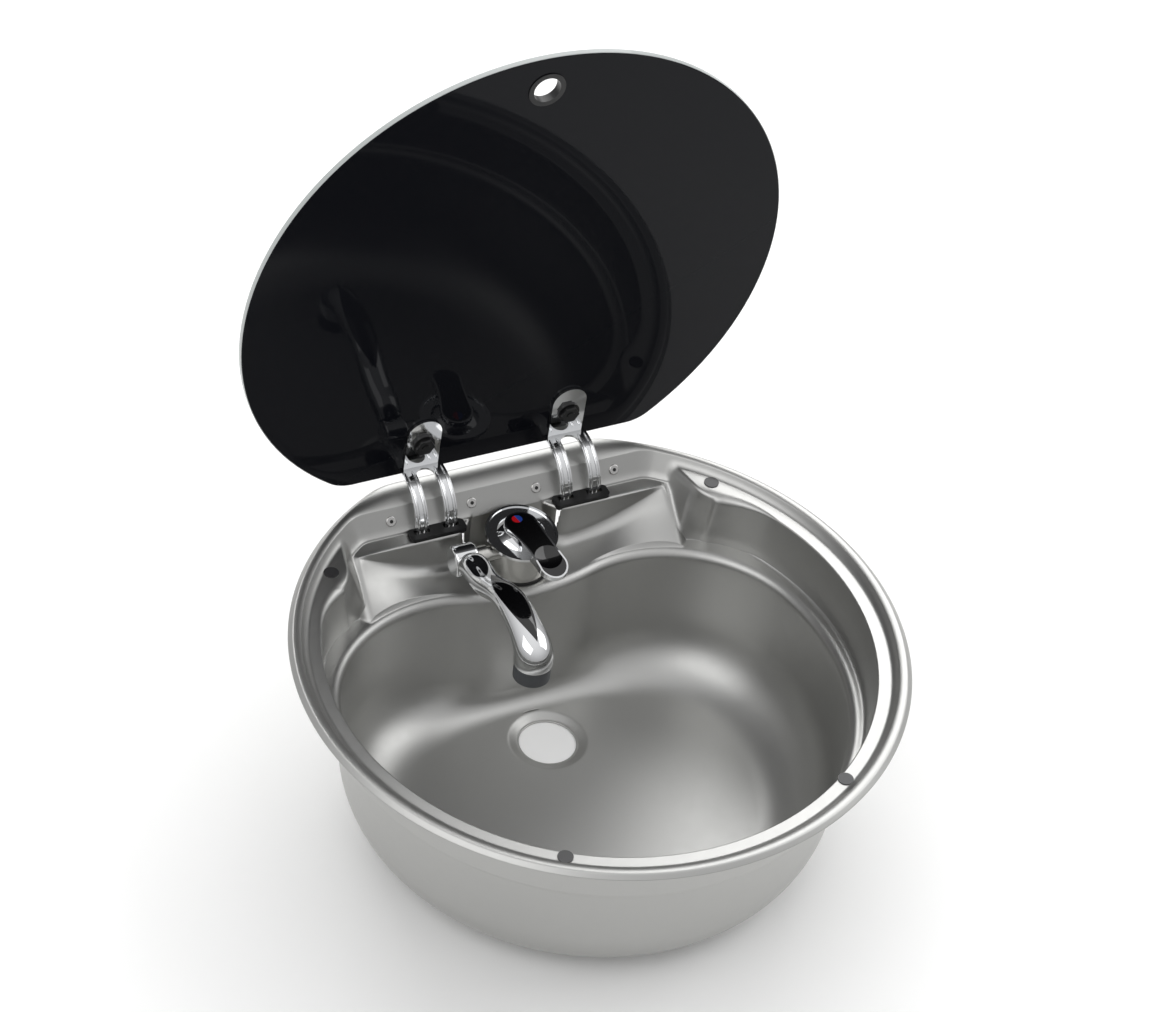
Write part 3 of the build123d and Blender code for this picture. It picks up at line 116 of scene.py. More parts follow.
def grained(material, grain_mm, smooth, rough):
    """Let a material's roughness wander between two values over a fine grain."""
    tree = material.node_tree
    place = add_node(tree, "ShaderNodeTexCoord")
    scale = MM_PER_M / grain_mm
    noise = add_node(
        tree, "ShaderNodeTexNoise", [("Vector", place.outputs["Object"])], Scale=scale, Detail=3.0
    )
    wander = add_node(
        tree, "ShaderNodeMapRange", [("Value", noise.outputs["Fac"])], To_Min=smooth, To_Max=rough
    )
    tree.links.new(wander.outputs["Result"], tree.nodes["Principled BSDF"].inputs["Roughness"])


print("millimetres in a metre:", MM_PER_M)

# %% [markdown]
# The bowl's steel and the small turned parts get a faint grain. The other materials are even.

# %% make the materials
# The second glass colour is a painted highlight on the lid's polished edge.
GLASS_BLACK, GLASS_EDGE_PAINTED_HIGHLIGHT = "101115", "b4b8b7"
MATERIALS = {
    "stainless_satin": plain("satin_stainless_steel", "b7b7b5", 0.4, metallic=1.0),
    "seal_foam": plain("closed_cell_foam", "1b1b1b", 0.9, ior=1.5),
    "bumper_rubber": plain("grey_rubber", "303031", 0.32, ior=1.52),
    "black_glass": plain("black_backed_glass", GLASS_BLACK, 0.03, ior=1.52),
    "ring_plastic": plain("satin_black_plastic", "151516", 0.35, ior=1.49),
    "gasket_rubber": plain("black_rubber", "161616", 0.7, ior=1.52),
    "tap_satin_chrome": plain("satin_chrome", "c9c8c4", 0.26, metallic=1.0),
    "clamp_plastic": plain("black_nylon", "1a1a1a", 0.6, ior=1.53),
    "brass": plain("turned_brass", "c7a763", 0.3, metallic=1.0),
    "cartridge_plastic": plain("white_acetal", "d8d6d0", 0.45, ior=1.48),
    "steel_small_parts": plain("turned_steel", "c9c8c6", 0.25, metallic=1.0),
    "chrome": plain("polished_chrome", "e4e5e6", 0.06, metallic=1.0),
    "gloss_black": plain("gloss_black_plastic", "060607", 0.06, ior=1.5, coat=0.5),
    "hot_red": plain("red_enamel", "b3141c", 0.2, ior=1.5),
    "cold_blue": plain("blue_enamel", "23408f", 0.2, ior=1.5),
    "nozzle_grey": plain("dark_grey_plastic", "4a4c4f", 0.45, ior=1.5),
    "aerator_plastic": plain("grey_acetal", "6c6e70", 0.5, ior=1.48),
    "washer_nylon": plain("black_washer_nylon", "1c1c1c", 0.55, ior=1.53),
    "nut_black": plain("black_coated_steel", "0b0b0c", 0.3, ior=1.5, coat=0.15),
    "bezel_plastic": plain("matt_black_plastic", "0c0c0d", 0.5, ior=1.5),
}
grained(MATERIALS["stainless_satin"], grain_mm=6.0, smooth=0.36, rough=0.43)
grained(MATERIALS["steel_small_parts"], grain_mm=0.4, smooth=0.2, rough=0.32)
print("materials:", len(MATERIALS))

# %% [markdown]
# The lid is clear glass with a black back. Its polished edge is painted pale: a painted highlight, for the
# light that the clear edge catches. The edge is everything that is far enough from the middle of the disc,
# in the
# plane of the open lid: past the round outline, or past the straight rear one. The sheen is low, so that
# the glass looks black. Lengths here are in metres.

# %% painted highlight on the glass's edge
LID_OPEN = radians(86)
PIVOT_Y, PIVOT_Z = 0.190, -0.0109
GLASS_RADIUS, GLASS_REAR, GLASS_EDGE = 0.2055, 0.1671, 0.0004
GLASS_MIDDLE_Z = 0.0011
GLASS_SHEEN = 0.1
MIX_FIRST, MIX_SECOND, MIX_RESULT = 6, 7, 2

open_cos, open_sin = cos(LID_OPEN), sin(LID_OPEN)
arm_y, arm_z = -PIVOT_Y, GLASS_MIDDLE_Z - PIVOT_Z
middle_y = PIVOT_Y + arm_y * open_cos + arm_z * open_sin
middle_z = PIVOT_Z - arm_y * open_sin + arm_z * open_cos


def vector_node(tree, operation, source, constant=None):
    """A vector step with one linked input and, where given, one constant."""
    node = add_node(tree, "ShaderNodeVectorMath", [(0, source)], operation=operation)
    if constant:
        node.inputs[1].default_value = constant
    return node


def past(tree, source, limit):
    """1 where a value is past a limit, else 0."""
    node = add_node(tree, "ShaderNodeMath", [(0, source)], operation="GREATER_THAN")
    node.inputs[1].default_value = limit
    return node.outputs[0]


glass_tree = MATERIALS["black_glass"].node_tree
place = add_node(glass_tree, "ShaderNodeTexCoord")
glass_middle = (0, middle_y, middle_z)
from_middle = vector_node(glass_tree, "SUBTRACT", place.outputs["Object"], glass_middle).outputs[0]
rearward = vector_node(glass_tree, "DOT_PRODUCT", from_middle, (0, open_cos, -open_sin)).outputs["Value"]
sideways = add_node(glass_tree, "ShaderNodeSeparateXYZ", [("Vector", from_middle)])
in_lid = add_node(glass_tree, "ShaderNodeCombineXYZ", [("X", sideways.outputs["X"]), ("Y", rearward)])
away = vector_node(glass_tree, "LENGTH", in_lid.outputs[0]).outputs["Value"]
at_round = past(glass_tree, away, GLASS_RADIUS - GLASS_EDGE)
at_rear = past(glass_tree, rearward, GLASS_REAR - GLASS_EDGE)
edge = add_node(glass_tree, "ShaderNodeMath", [(0, at_round), (1, at_rear)], operation="MAXIMUM")
# Past the edge, the glass takes the pale colour of the painted highlight.
paint = add_node(glass_tree, "ShaderNodeMix", [("Factor", edge.outputs[0])], data_type="RGBA")
for socket, colour in ((MIX_FIRST, GLASS_BLACK), (MIX_SECOND, GLASS_EDGE_PAINTED_HIGHLIGHT)):
    paint.inputs[socket].default_value = linear(colour)
glass_shader = glass_tree.nodes["Principled BSDF"]
glass_shader.inputs["Specular IOR Level"].default_value = GLASS_SHEEN
glass_tree.links.new(paint.outputs[MIX_RESULT], glass_shader.inputs["Base Color"])
print("middle of the open lid at", round(middle_y, 4), round(middle_z, 4))

# %% [markdown]
# The record gives each node a slot, and each slot has one material.

# %% give each node its material
slots = {part["node"]: part["material_slot"] for part in frame["record"]["subparts"]}
for name, node in frame["nodes"].items():
    node.data.materials.clear()
    node.data.materials.append(MATERIALS[slots[name]])
print("nodes with a material:", len(slots))

# %% [markdown]
# ## Pressed bowl
#
# The sheet is one surface, drawn as closed rings round the waste hole. Below the basin's edge every
# ring is the kidney outline, made of tangent arcs. Above it the height is the highest of several
# lands: the outer wall with its pads, the shelf, a fan that climbs to a ridge, and the rear slope.
# Heights are measured up from the rim's flat top, so those inside the sink are negative. A disc is its
# radius, the Y of its straight rear edge and the radius of the two corners.

# %% bowl sizes in millimetres
RIM_TOP = 3.6
SHEET = 0.8
TAP_HOLE = 16.8
RIM = (220.0, 203.0, 50.0)
RECESS = (211.0, 176.0, 28.0)
LIP_WIDTH, LIP_FALL, LIP_FOOT = 3.4, 3.0, 3.3
LEDGE, SHELF, DECK, FLOOR = -6.0, -17.8, -49.0, -157.0
WALL_RUN = 2.4
BASIN_CENTRE_Y, BASIN_RADIUS, EAR_RADIUS, EAR_ANGLE, BULGE_Y = -2.0, 182.0, 100.0, 14.5, 107.0
BASIN_TAPER = radians(2.2)
FOOT_ROUNDS = (51.0, 36.0, 14.5)
EDGE_ROUND = 7.0
WASTE_Y, WASTE_HOLE, WASTE_FOOT, WASTE_TOP, WASTE_DEPTH = 58.0, 21.5, 23.2, 29.6, 3.0
TAP_Y = 136.0
HINGE_X, SLOT_Y, SLOT_HALF = 57.8, 158.3, (21.0, 4.9)
print("floor below the rim's top in mm:", -FLOOR)

# %% [markdown]
# A profile is a bent line whose corners are rounded. A height is read off it at any distance. Beyond its
# ends it stays level.


# %% profiles
FAR = 90
ARC_STEPS = 9
REAR_FOOT, REAR_BEND, SHELF_RUN = 16.5, 5, 1.8


def rounded_line(points, rounds):
    """Samples along a line through points whose inner corners are rounded."""
    line = [points[0]]
    for before, corner, after, radius in zip(points, points[1:], points[2:], rounds):
        arms = [np.subtract(end, corner) / hypot(*np.subtract(end, corner)) for end in (before, after)]
        half = np.arccos(np.clip(arms[0] @ arms[1], -1, 1)) / 2
        middle = (arms[0] + arms[1]) / np.linalg.norm(arms[0] + arms[1])
        centre = np.array(corner) + middle * radius / sin(half)
        ends = [np.array(corner) + arm * radius / tan(half) - centre for arm in arms]
        for share in np.linspace(0, 1, ARC_STEPS):
            spoke = ends[0] * (1 - share) + ends[1] * share
            line.append(tuple(centre + spoke * radius / np.linalg.norm(spoke)))
    line.append(points[-1])
    return tuple(np.array(line).T)


rear_corners = [(-FAR, DECK), (0, DECK), (REAR_BEND, SHELF), (REAR_FOOT, 0), (FAR, 0)]
shelf_corners = [(-FAR, 0), (0, 0), (SHELF_RUN, SHELF - DECK), (FAR, SHELF - DECK)]
lip_corners = [(-FAR, -LIP_FALL), (0, -LIP_FALL), (LIP_WIDTH, 0), (FAR, 0)]
REAR_LINE = rounded_line(rear_corners, (4.0, 3.0, 1.4))
SHELF_LINE = rounded_line(shelf_corners, (9.0, 2.5))
LIP_LINE = rounded_line(lip_corners, (0.3, 2.0))
print("points in the rear slope's profile:", len(REAR_LINE[0]))

# %% [markdown]
# Two shapes meet in a blend, not in a crease.


# %% blends and distances
def soft_max(a, b, width):
    """The larger of two heights, blended where they are close."""
    share = np.clip(0.5 + 0.5 * (a - b) / width, 0, 1)
    return b * (1 - share) + a * share + width * share * (1 - share)


def soft_min(a, b, width):
    """The smaller of two heights, blended where they are close."""
    return -soft_max(-a, -b, width)


def inside_edge(x, y, disc):
    """Distance inside the edge of a disc with a straight rear edge and rounded corners."""
    radius, rear, corner = disc
    centre_y = rear - corner
    centre_x = sqrt((radius - corner) ** 2 - centre_y**2)
    near = np.minimum(radius - np.hypot(x, y), rear - y)
    in_corner = (x > centre_x) & (centre_x * y > centre_y * x)
    return np.where(in_corner, corner - np.hypot(x - centre_x, y - centre_y), near)


print("two equal heights blend to:", soft_max(0.0, 0.0, 4.0))

# %% [markdown]
# The pads carry the rear bumpers. Their inner flank follows a line and their front an arc; a ridge
# falls from the shelf's end to the deck, with a narrow valley between it and the flank.


# %% height of the pressing outside the basin
PAD_CORNER, PAD_REAR = (141.5, 117.0), (132.0, 160.0)
PAD_ARC_CENTRE, PAD_ARC_RADIUS = (114.5, 52.1), 68.0
PAD_CORNER_BLEND, WALL_FOOT_ROUND = 14.0, 3.0
SHOULDER, SHOULDER_Y = (1.2, 7.0), (78.0, 114.0)
FLANK_RUN, FLANK_SPREAD, FLANK_FRONT_Y, FLANK_ROUND = 13.0, 0.25, 117.0, 6.0
RIDGE_X, RIDGE_FOOT_Y, RIDGE_CLIMB, RIDGE_LEAN = 124.6, 114.0, 0.9, 0.08
RIDGE_OUTER_SLOPE, RIDGE_BLEND, RIDGE_FOOT_BLEND = 1.5, 8.0, 3.0
FAN_X, FAN_POWER, FAN_BLEND = 45.0, 1.7, 4.0
ALCOVE_RADIUS, ALCOVE_BLEND = 38.5, 10.0
SHELF_FRONT_Y = 149.9
FLANK_FRONT_SLOPE, FLANK_SHARE = 1.5, 0.4
REAR_BLEND, LAND_BLEND, LEAST_BLEND = 4.0, 6.0, 0.01


def wall_distance(x, y):
    """Distance outside the foot of the outer wall, which bends in round each pad."""
    pad_x, pad_y = PAD_ARC_CENTRE
    round_pad = np.hypot(x - pad_x, y - pad_y)
    round_rim = np.hypot(x, y) - hypot(pad_x, pad_y)
    return np.where(y * pad_x > x * pad_y, round_pad, round_rim) - PAD_ARC_RADIUS


def outer_wall(x, y):
    """Height of the outer wall and of the pad, whose steep front turns into a gentler flank."""
    along = np.subtract(PAD_REAR, PAD_CORNER) / hypot(*np.subtract(PAD_REAR, PAD_CORNER))
    flank = (x - PAD_CORNER[0]) * along[1] - (y - PAD_CORNER[1]) * along[0]
    flank = flank + FLANK_FRONT_SLOPE * np.maximum(FLANK_FRONT_Y - y, 0)
    front = wall_distance(x, y) - WALL_RUN
    edge = soft_min(front, flank, PAD_CORNER_BLEND)
    on_flank = np.clip(0.5 + FLANK_SHARE * (front - flank) / PAD_CORNER_BLEND, 0, 1)
    on_flank = on_flank**2 * (3 - 2 * on_flank)
    shoulder = np.interp(y, SHOULDER_Y, SHOULDER)
    inward = np.clip(1 - edge / shoulder, 0, 1)
    steep = LEDGE - shoulder * (1 - np.sqrt(1 - inward**2))
    steep = steep + np.minimum(edge, 0) * (LEDGE - DECK) / WALL_RUN
    run = FLANK_RUN + FLANK_SPREAD * np.maximum(y - FLANK_FRONT_Y, 0)
    gentle = soft_min(LEDGE + edge * (LEDGE - DECK) / run, LEDGE, FLANK_ROUND)
    return soft_max(steep * (1 - on_flank) + gentle * on_flank, DECK, WALL_FOOT_ROUND)


def height_outside(x, y):
    """Height of the sheet from the basin's edge to the rim."""
    x = np.abs(x)
    recess = inside_edge(x, y, RECESS)
    wall = outer_wall(x, y)
    rear = np.interp(REAR_FOOT - recess, *REAR_LINE)
    ridge_x = RIDGE_X + RIDGE_LEAN * np.maximum(SHELF_FRONT_Y - y, 0)
    climb = soft_max((y - RIDGE_FOOT_Y) * RIDGE_CLIMB, 0, RIDGE_FOOT_BLEND)
    fan = climb * np.clip((x - FAN_X) / (ridge_x - FAN_X), 0, 2) ** FAN_POWER
    fan = soft_min(fan, SHELF - DECK, FAN_BLEND)
    step = soft_min(y - SHELF_FRONT_Y, np.hypot(x, y - TAP_Y) - ALCOVE_RADIUS, ALCOVE_BLEND)
    shelf = np.interp(step, *SHELF_LINE)
    land = fan + shelf * (1 - fan / (SHELF - DECK))
    land = soft_min(land, climb - RIDGE_OUTER_SLOPE * (x - ridge_x), RIDGE_BLEND)
    high = soft_max(rear, wall, np.clip(np.minimum(rear, wall) - DECK, LEAST_BLEND, REAR_BLEND))
    lift = np.clip(np.minimum(high, DECK + land) - DECK, LEAST_BLEND, LAND_BLEND)
    high = soft_max(high, DECK + np.maximum(land, 0), lift)
    lip = np.interp(inside_edge(x, y, RIM), *LIP_LINE)
    return np.where(recess < 0, np.minimum(lip, 0), np.minimum(high, 0))


print("height on the deck:", float(height_outside(np.array([60.0]), np.array([130.0]))[0]))

# %% [markdown]
# The basin's outline is a front arc, an ear arc on each side and a rear arc, all tangent. The rear arc
# bends in at the basin's edge and out at its floor.


# %% the kidney outline
def kidney(angle, insets):
    """Distance from the waste hole's centre to the basin's outline, moved in by three insets."""
    way = (np.abs(np.cos(angle)), np.sin(angle))
    front, ear = BASIN_RADIUS - insets[0], EAR_RADIUS - insets[1]
    bulge_y = BULGE_Y - insets[2]
    ear_x = (front - ear) * cos(radians(EAR_ANGLE))
    ear_y = BASIN_CENTRE_Y + (front - ear) * sin(radians(EAR_ANGLE))
    reach = bulge_y - ear_y
    bulge = (ear_x**2 + reach**2 - ear**2) / (2 * (ear - reach))
    bulge_centre = bulge_y + bulge

    def hit(x, y, radius, root):
        """Distance along the ray to a circle: its far side with root 1, its near side with root -1."""
        step = way[0] * -x + way[1] * (WASTE_Y - y)
        rest = x**2 + (WASTE_Y - y) ** 2 - radius**2
        return -step + root * np.sqrt(np.maximum(step**2 - rest, 0))

    front_end = (front * cos(radians(EAR_ANGLE)), BASIN_CENTRE_Y + front * sin(radians(EAR_ANGLE)))
    side = 1 if bulge > 0 else -1
    span = hypot(ear_x, bulge_centre - ear_y)
    bulge_end = (ear_x - side * ear_x * ear / span, ear_y + side * (bulge_centre - ear_y) * ear / span)
    turn = np.arctan2(way[1], way[0])
    first, second = (atan2(y - WASTE_Y, x) for x, y in (front_end, bulge_end))
    far = hit(0, BASIN_CENTRE_Y, front, 1)
    ears = hit(ear_x, ear_y, ear, 1)
    middle = hit(0, bulge_centre, abs(bulge), -side)
    return np.where(turn < first, far, np.where(turn < second, ears, middle))


def foot_inset(wall_inset, radius, height):
    """Inset of the rounded foot at a height above the floor."""
    if height >= radius * (1 - sin(BASIN_TAPER)):
        return wall_inset - height * tan(BASIN_TAPER)
    centre = wall_inset - radius * tan(BASIN_TAPER) + radius / cos(BASIN_TAPER)
    return centre - sqrt(radius**2 - (radius - height) ** 2)


print("waste hole to the basin's front edge:", kidney(np.array([radians(-90)]), (0, 0, 0)).round(1))

# %% [markdown]
# Ray angles are closer together at the rear, where the small shapes are. Outside the basin the ring
# points are spread by length along each ray's own profile, with more where it bends.

# %% rings inside the basin
REAR_FROM, REAR_TO = 10, 170
REAR_STEP, FRONT_STEP = 0.4, 1.0
WASTE_RINGS = np.linspace(22.2, 31.4, 19)
EVEN_RINGS, FOOT_RINGS, EDGE_RINGS = 8, 27, 9

rear_angles = np.arange(REAR_FROM, REAR_TO, REAR_STEP)
front_angles = np.arange(REAR_TO, REAR_FROM + 360, FRONT_STEP)
angles = np.radians(np.concatenate([rear_angles, front_angles]))
rings = []


def add_ring(radius, height):
    """Add a ring at a distance from the waste hole's centre and at a height, in millimetres."""
    radius = np.broadcast_to(radius, angles.shape)
    height = np.broadcast_to(height, angles.shape)
    place = [radius * np.cos(angles), WASTE_Y + radius * np.sin(angles), height + RIM_TOP]
    rings.append(np.stack(place, axis=1) / MM_PER_M)


waste_run = WASTE_TOP - WASTE_FOOT
waste_corners = [(-FAR, -WASTE_DEPTH), (0, -WASTE_DEPTH), (waste_run, 0), (FAR, 0)]
WASTE_LINE = rounded_line(waste_corners, (1.5, 6.0))
for radius in np.concatenate([[WASTE_HOLE], WASTE_RINGS]):
    add_ring(radius, FLOOR + np.interp(radius - WASTE_FOOT, *WASTE_LINE))

fall = DECK - FLOOR
wall_inset = fall * tan(BASIN_TAPER)
floor_edge = kidney(angles, [foot_inset(wall_inset, r, 0) for r in FOOT_ROUNDS])
floor_start = WASTE_RINGS[-1]
for share in np.linspace(0, 1, EVEN_RINGS)[1:-1]:
    add_ring(floor_start + (floor_edge - floor_start) * share, FLOOR)
for turn in np.linspace(pi / 2, BASIN_TAPER, FOOT_RINGS):
    height = FOOT_ROUNDS[0] * (1 - sin(turn))
    add_ring(kidney(angles, [foot_inset(wall_inset, r, height) for r in FOOT_ROUNDS]), FLOOR + height)
foot_height = FOOT_ROUNDS[0] * (1 - sin(BASIN_TAPER))
wall_height = fall - EDGE_ROUND * (1 - sin(BASIN_TAPER))
for height in np.linspace(foot_height, wall_height, EVEN_RINGS)[1:-1]:
    add_ring(kidney(angles, [wall_inset - height * tan(BASIN_TAPER)] * 3), FLOOR + height)
edge_reach = EDGE_ROUND * tan((pi / 2 - BASIN_TAPER) / 2)
for turn in np.linspace(BASIN_TAPER, pi / 2, EDGE_RINGS):
    outset = edge_reach - EDGE_ROUND * cos(turn)
    add_ring(kidney(angles, [-outset] * 3), DECK - EDGE_ROUND * (1 - sin(turn)))
print("rings up to the basin's edge:", len(rings))

# %% [markdown]
# Round the basin each ring takes its heights from the pressing. The last ones lie at even distances
# inside the recess's edge and inside the rim's, so that the lip has no steps in it.

# %% rings round the basin
NEAREST, FARTHEST, HALVINGS = 100.0, 400.0, 40
SAMPLES, LAND_RINGS, BEND_WEIGHT = 900, 90, 5.0
RECESS_INSETS = np.linspace(6.0, 0, 16)
LIP_INSETS = np.linspace(5.0, 0, 11)
HAIR = 1e-6


def reach_to(disc, inset):
    """Length of each ray up to a distance inside the edge of a disc, found by halving."""
    low, high = np.full_like(angles, NEAREST), np.full_like(angles, FARTHEST)
    for _ in range(HALVINGS):
        middle = (low + high) / 2
        x, y = np.abs(middle * np.cos(angles)), WASTE_Y + middle * np.sin(angles)
        inside = inside_edge(x, y, disc) > inset
        low, high = np.where(inside, middle, low), np.where(inside, high, middle)
    return low


def add_sheet_ring(radius):
    """Add a ring that lies on the pressing."""
    add_ring(radius, height_outside(radius * np.cos(angles), WASTE_Y + radius * np.sin(angles)))


start = kidney(angles, [-edge_reach] * 3)
reach = start + (reach_to(RECESS, RECESS_INSETS[0]) - start) * np.linspace(0, 1, SAMPLES)[:, None]
z = height_outside(reach * np.cos(angles), WASTE_Y + reach * np.sin(angles))
slope = np.arctan2(np.diff(z, axis=0), np.diff(reach, axis=0))
bend = np.abs(np.diff(slope, axis=0, append=slope[-1:]))
length = np.hypot(np.diff(z, axis=0), np.diff(reach, axis=0)) + BEND_WEIGHT * bend
length = np.vstack([np.zeros_like(start), np.cumsum(length, axis=0)])
for share in np.linspace(0, 1, LAND_RINGS)[1:-1]:
    columns = zip(length.T, reach.T)
    add_sheet_ring(np.array([np.interp(share * along[-1], along, radius) for along, radius in columns]))
for inset in RECESS_INSETS:
    add_sheet_ring(reach_to(RECESS, inset) + HAIR)
for inset in LIP_INSETS:
    add_sheet_ring(reach_to(RIM, inset))
add_ring(reach_to(RIM, 0), -LIP_FOOT)
print("rings:", len(rings), "points in each:", len(angles))

# %% [markdown]
# Neighbouring rings are joined by four-sided faces. Those over the tap's hole and the two hinge slots are
# left out, and their edges lie under the gasket and the bezels.

# %% bowl mesh
points = np.concatenate(rings)
count = len(angles)
index = np.arange(len(points)).reshape(len(rings), count)
inner, outer = index[:-1], index[1:]
quads = np.stack(
    [inner, outer, np.roll(outer, -1, axis=1), np.roll(inner, -1, axis=1)], axis=-1
).reshape(-1, 4)
middle_x, middle_y, _ = points[quads].mean(axis=1).T * MM_PER_M
over_tap = np.hypot(middle_x, middle_y - TAP_Y) < TAP_HOLE
along_slot = np.abs(np.abs(middle_x) - HINGE_X) < SLOT_HALF[0]
across_slot = np.abs(middle_y - SLOT_Y) < SLOT_HALF[1]
quads = quads[~(over_tap | along_slot & across_slot)]
bowl_mesh = bpy.data.meshes.new("pressed_bowl")
bowl_mesh.from_pydata(points.tolist(), [], quads.tolist())
bowl_mesh.polygons.foreach_set("use_smooth", [True] * len(bowl_mesh.polygons))
bowl_mesh.materials.append(MATERIALS["stainless_satin"])
pressed_bowl = bpy.data.objects.new("pressed_bowl", bowl_mesh)
bpy.context.collection.objects.link(pressed_bowl)
sheet = pressed_bowl.modifiers.new("sheet", "SOLIDIFY")
sheet.thickness = SHEET / MM_PER_M
sheet.offset = -1.0
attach(pressed_bowl, "sink")
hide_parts("bowl")
print("bowl faces:", len(quads))

# %% [markdown]
# ## Small shapes on the hinges
#
# Each arm of a hinge strap is stiffened by two pressed ribs. A rib starts thin where the arm leaves the
# tongue and follows it about the lid's pivot. Its middle lies a little under the arm's surface.

# %% strap ribs
ARM_RADIUS = 30.6
RIB_ANGLES = (radians(84), radians(186))
RIB_RADIUS, RIB_SINK = 1.35, 0.45
ARM_MIDDLES = (-11.5, 11.5)
RIB_OFFSETS = (-2.7, 2.7)
RIB_STEPS, RIB_SIDES = 41, 10
TAPER_PACE, LEAST_RADIUS = 12, 0.05
PIVOT_MM = (PIVOT_Y * MM_PER_M, PIVOT_Z * MM_PER_M)


def tube(x, path, turns, radii):
    """Vertices and faces of a round bar along an arc about the lid's pivot, open at both ends."""
    verts, faces = [], []
    for angle, radius in zip(turns, radii):
        y, z = PIVOT_MM[0] + path * cos(angle), PIVOT_MM[1] + path * sin(angle)
        for side in range(RIB_SIDES):
            turn = 2 * pi * side / RIB_SIDES
            out = radius * cos(turn)
            verts.append((x + radius * sin(turn), y + out * cos(angle), z + out * sin(angle)))
    for row in range(len(turns) - 1):
        for side in range(RIB_SIDES):
            a, b = row * RIB_SIDES + side, row * RIB_SIDES + (side + 1) % RIB_SIDES
            faces.append((a, b, b + RIB_SIDES, a + RIB_SIDES))
    return verts, faces


def add_piece(name, verts, faces, material, body):
    """Add a smooth mesh, given in millimetres, that rides on a body."""
    mesh = bpy.data.meshes.new(name)
    mesh.from_pydata([tuple(v / MM_PER_M for v in vert) for vert in verts], [], faces)
    mesh.polygons.foreach_set("use_smooth", [True] * len(mesh.polygons))
    mesh.materials.append(MATERIALS[material])
    piece = bpy.data.objects.new(name, mesh)
    bpy.context.collection.objects.link(piece)
    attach(piece, body)


shares = np.linspace(0, 1, RIB_STEPS)
turns = RIB_ANGLES[0] + (RIB_ANGLES[1] - RIB_ANGLES[0]) * shares
radii = RIB_RADIUS * np.clip(shares * TAPER_PACE, LEAST_RADIUS, 1)
for word, side in (("left", -1), ("right", 1)):
    verts, faces = [], []
    for arm in ARM_MIDDLES:
        for offset in RIB_OFFSETS:
            more, quads = tube(side * HINGE_X + arm + offset, ARM_RADIUS - RIB_SINK, turns, radii)
            faces += [tuple(v + len(verts) for v in quad) for quad in quads]
            verts += more
    add_piece(f"strap_ribs_{word}", verts, faces, "chrome", "lid")
print("ribs on each strap:", len(ARM_MIDDLES) * len(RIB_OFFSETS))

# %% [markdown]
# Each rivet gets a flat dark disc that faces out of the slope: painted shade in the rivet's hollow.

# %% painted shade in the rivets' hollows
RIVET_X, RIVET_Y, RIVET_Z = 31.9, 170.44, -5.0
SLOPE_OUT = (-0.8399, 0.5427)
SHADE_DISC_RADIUS, SHADE_DISC_OUT, SHADE_DISC_SIDES = 1.35, 0.5, 16
verts, faces = [], []
for side in (-1, 1):
    for spread in (-RIVET_X, RIVET_X):
        x = side * HINGE_X + spread
        y, z = RIVET_Y + SHADE_DISC_OUT * SLOPE_OUT[0], RIVET_Z + SHADE_DISC_OUT * SLOPE_OUT[1]
        first = len(verts)
        for step in range(SHADE_DISC_SIDES):
            turn = 2 * pi * step / SHADE_DISC_SIDES
            across, rise = SHADE_DISC_RADIUS * cos(turn), SHADE_DISC_RADIUS * sin(turn)
            verts.append((x + across, y + rise * SLOPE_OUT[1], z - rise * SLOPE_OUT[0]))
        faces.append(tuple(range(first, first + SHADE_DISC_SIDES)))
# These dark discs are painted shade in the rivets' hollows.
add_piece("rivet_shade_discs", verts, faces, "nut_black", "sink")
print("shade_discs:", len(faces))

# %% [markdown]
# ## Floor
#
# A plain pale floor just under the bowl's lowest face.

# %% floor
FLOOR_GAP, FLOOR_HALF = 0.0004, 6.0
FLOOR_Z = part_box("bowl")[0].z - FLOOR_GAP
floor_mesh = bpy.data.meshes.new("floor")
ways = ((-1, -1), (1, -1), (1, 1), (-1, 1))
corners = [(FLOOR_HALF * across, FLOOR_HALF * back, FLOOR_Z) for across, back in ways]
floor_mesh.from_pydata(corners, [], [(0, 1, 2, 3)])
floor_mesh.materials.append(plain("pale_floor_paint", "fbfbfa", 0.6, ior=1.5))
floor = bpy.data.objects.new("floor", floor_mesh)
bpy.context.collection.objects.link(floor)
print("floor at", round(FLOOR_Z * MM_PER_M, 2), "mm")

# %% [markdown]
# ## Camera
#
# The camera stands where the photo was taken from: to the left, in front and well above, tilted a
# little, with a long lens.

# %% camera
AZIMUTH = radians(-29.9)
ELEVATION = radians(41.96)
ROLL = radians(7.7)
TARGET = Vector((0.0496, 0.1316, 0.0036))
DISTANCE = 2.532
LENS, SENSOR = 105.95, 36.0

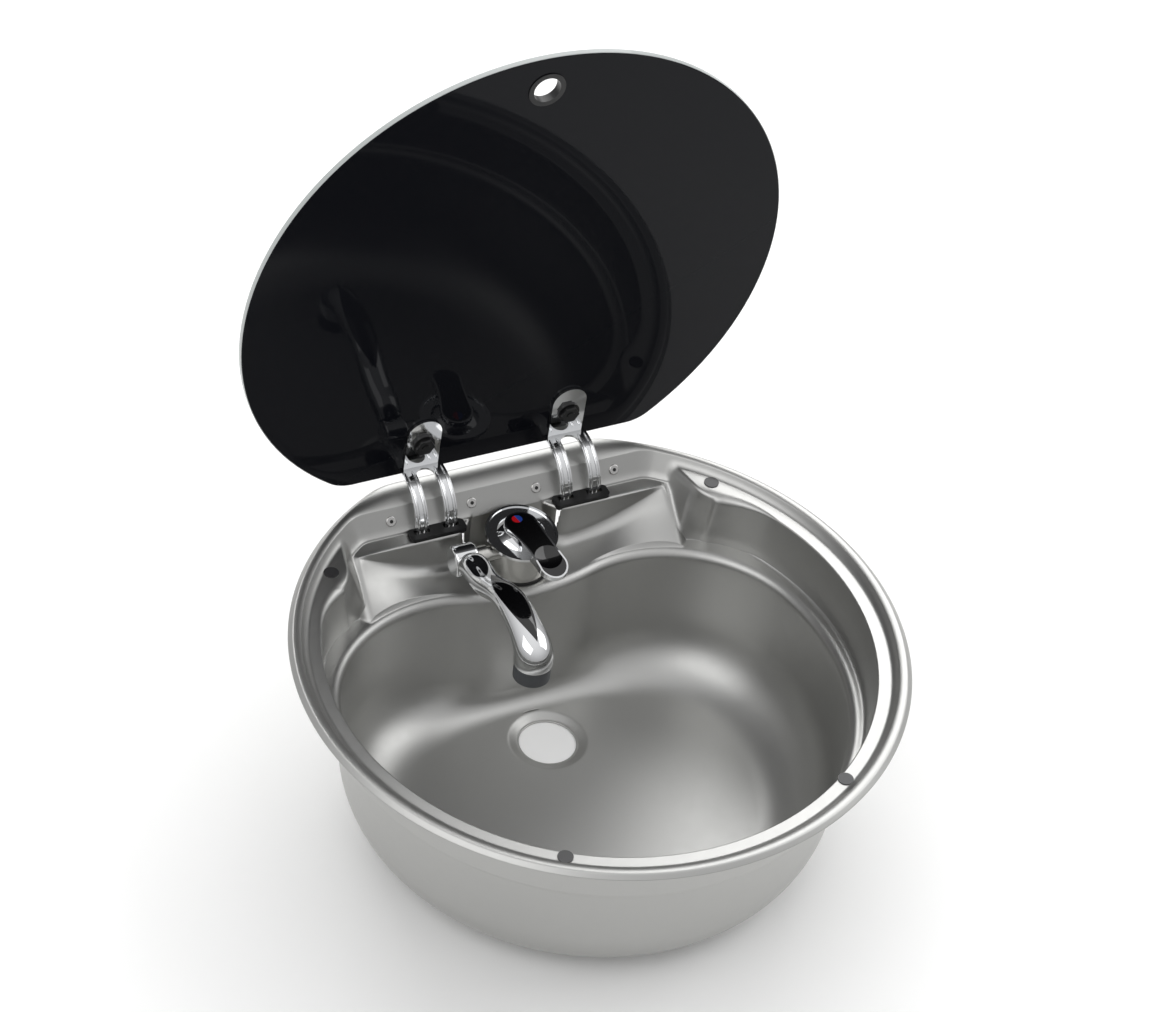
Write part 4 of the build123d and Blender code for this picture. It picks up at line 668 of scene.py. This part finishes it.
back = Vector((sin(AZIMUTH) * cos(ELEVATION), -cos(AZIMUTH) * cos(ELEVATION), sin(ELEVATION)))
right = (-back).cross(Vector((0, 0, 1))).normalized()
up = right.cross(-back)
right_rolled = right * cos(ROLL) + up * sin(ROLL)
up_rolled = up * cos(ROLL) - right * sin(ROLL)
facing = Matrix((right_rolled, up_rolled, back)).transposed().to_4x4()
camera_data = bpy.data.cameras.new("camera")
camera_data.lens = LENS
camera_data.sensor_width = SENSOR
camera = bpy.data.objects.new("camera", camera_data)
camera.matrix_world = Matrix.Translation(TARGET + back * DISTANCE) @ facing
bpy.context.collection.objects.link(camera)
scene = bpy.context.scene
scene.camera = camera
print("camera at", [round(v, 3) for v in camera.matrix_world.translation])

# %% [markdown]
# ## Light
#
# Soft studio light: a broad softbox high on the left, a second on the right, a stronger and wider one
# behind, and a sky that is brighter overhead than at the horizon. Curved steel then shows gentle gradients.


# %% lights
def softbox(name, place, aim, width, height, watts):
    """Add a rectangular area light that faces a point."""
    data = bpy.data.lights.new(name, "AREA")
    data.shape = "RECTANGLE"
    data.size = width
    data.size_y = height
    data.energy = watts
    light = bpy.data.objects.new(name, data)
    light.location = place
    light.rotation_euler = (Vector(aim) - Vector(place)).to_track_quat("-Z", "Y").to_euler()
    bpy.context.collection.objects.link(light)


softbox("key_softbox", (-2.0, -0.8, 2.2), (0, 0, 0), 2.6, 2.0, 20)
softbox("fill_softbox", (2.3, -0.2, 1.9), (0, 0, 0), 2.2, 2.0, 20)
softbox("rear_softbox", (0.8, 2.2, 2.1), (0, 0.1, 0), 3.6, 1.8, 48)

HORIZON, ZENITH = 0.42, 1.0
world = bpy.data.worlds.new("studio")
world.use_nodes = True
scene.world = world
tree = world.node_tree
direction = add_node(tree, "ShaderNodeTexCoord")
split = add_node(tree, "ShaderNodeSeparateXYZ", [("Vector", direction.outputs["Generated"])])
overhead = add_node(
    tree, "ShaderNodeMapRange", [("Value", split.outputs["Z"])], To_Min=HORIZON, To_Max=ZENITH
)
tree.links.new(overhead.outputs["Result"], tree.nodes["Background"].inputs["Strength"])
tree.nodes["Background"].inputs["Color"].default_value = linear("f6f6f7")
scene.view_settings.view_transform = "Standard"
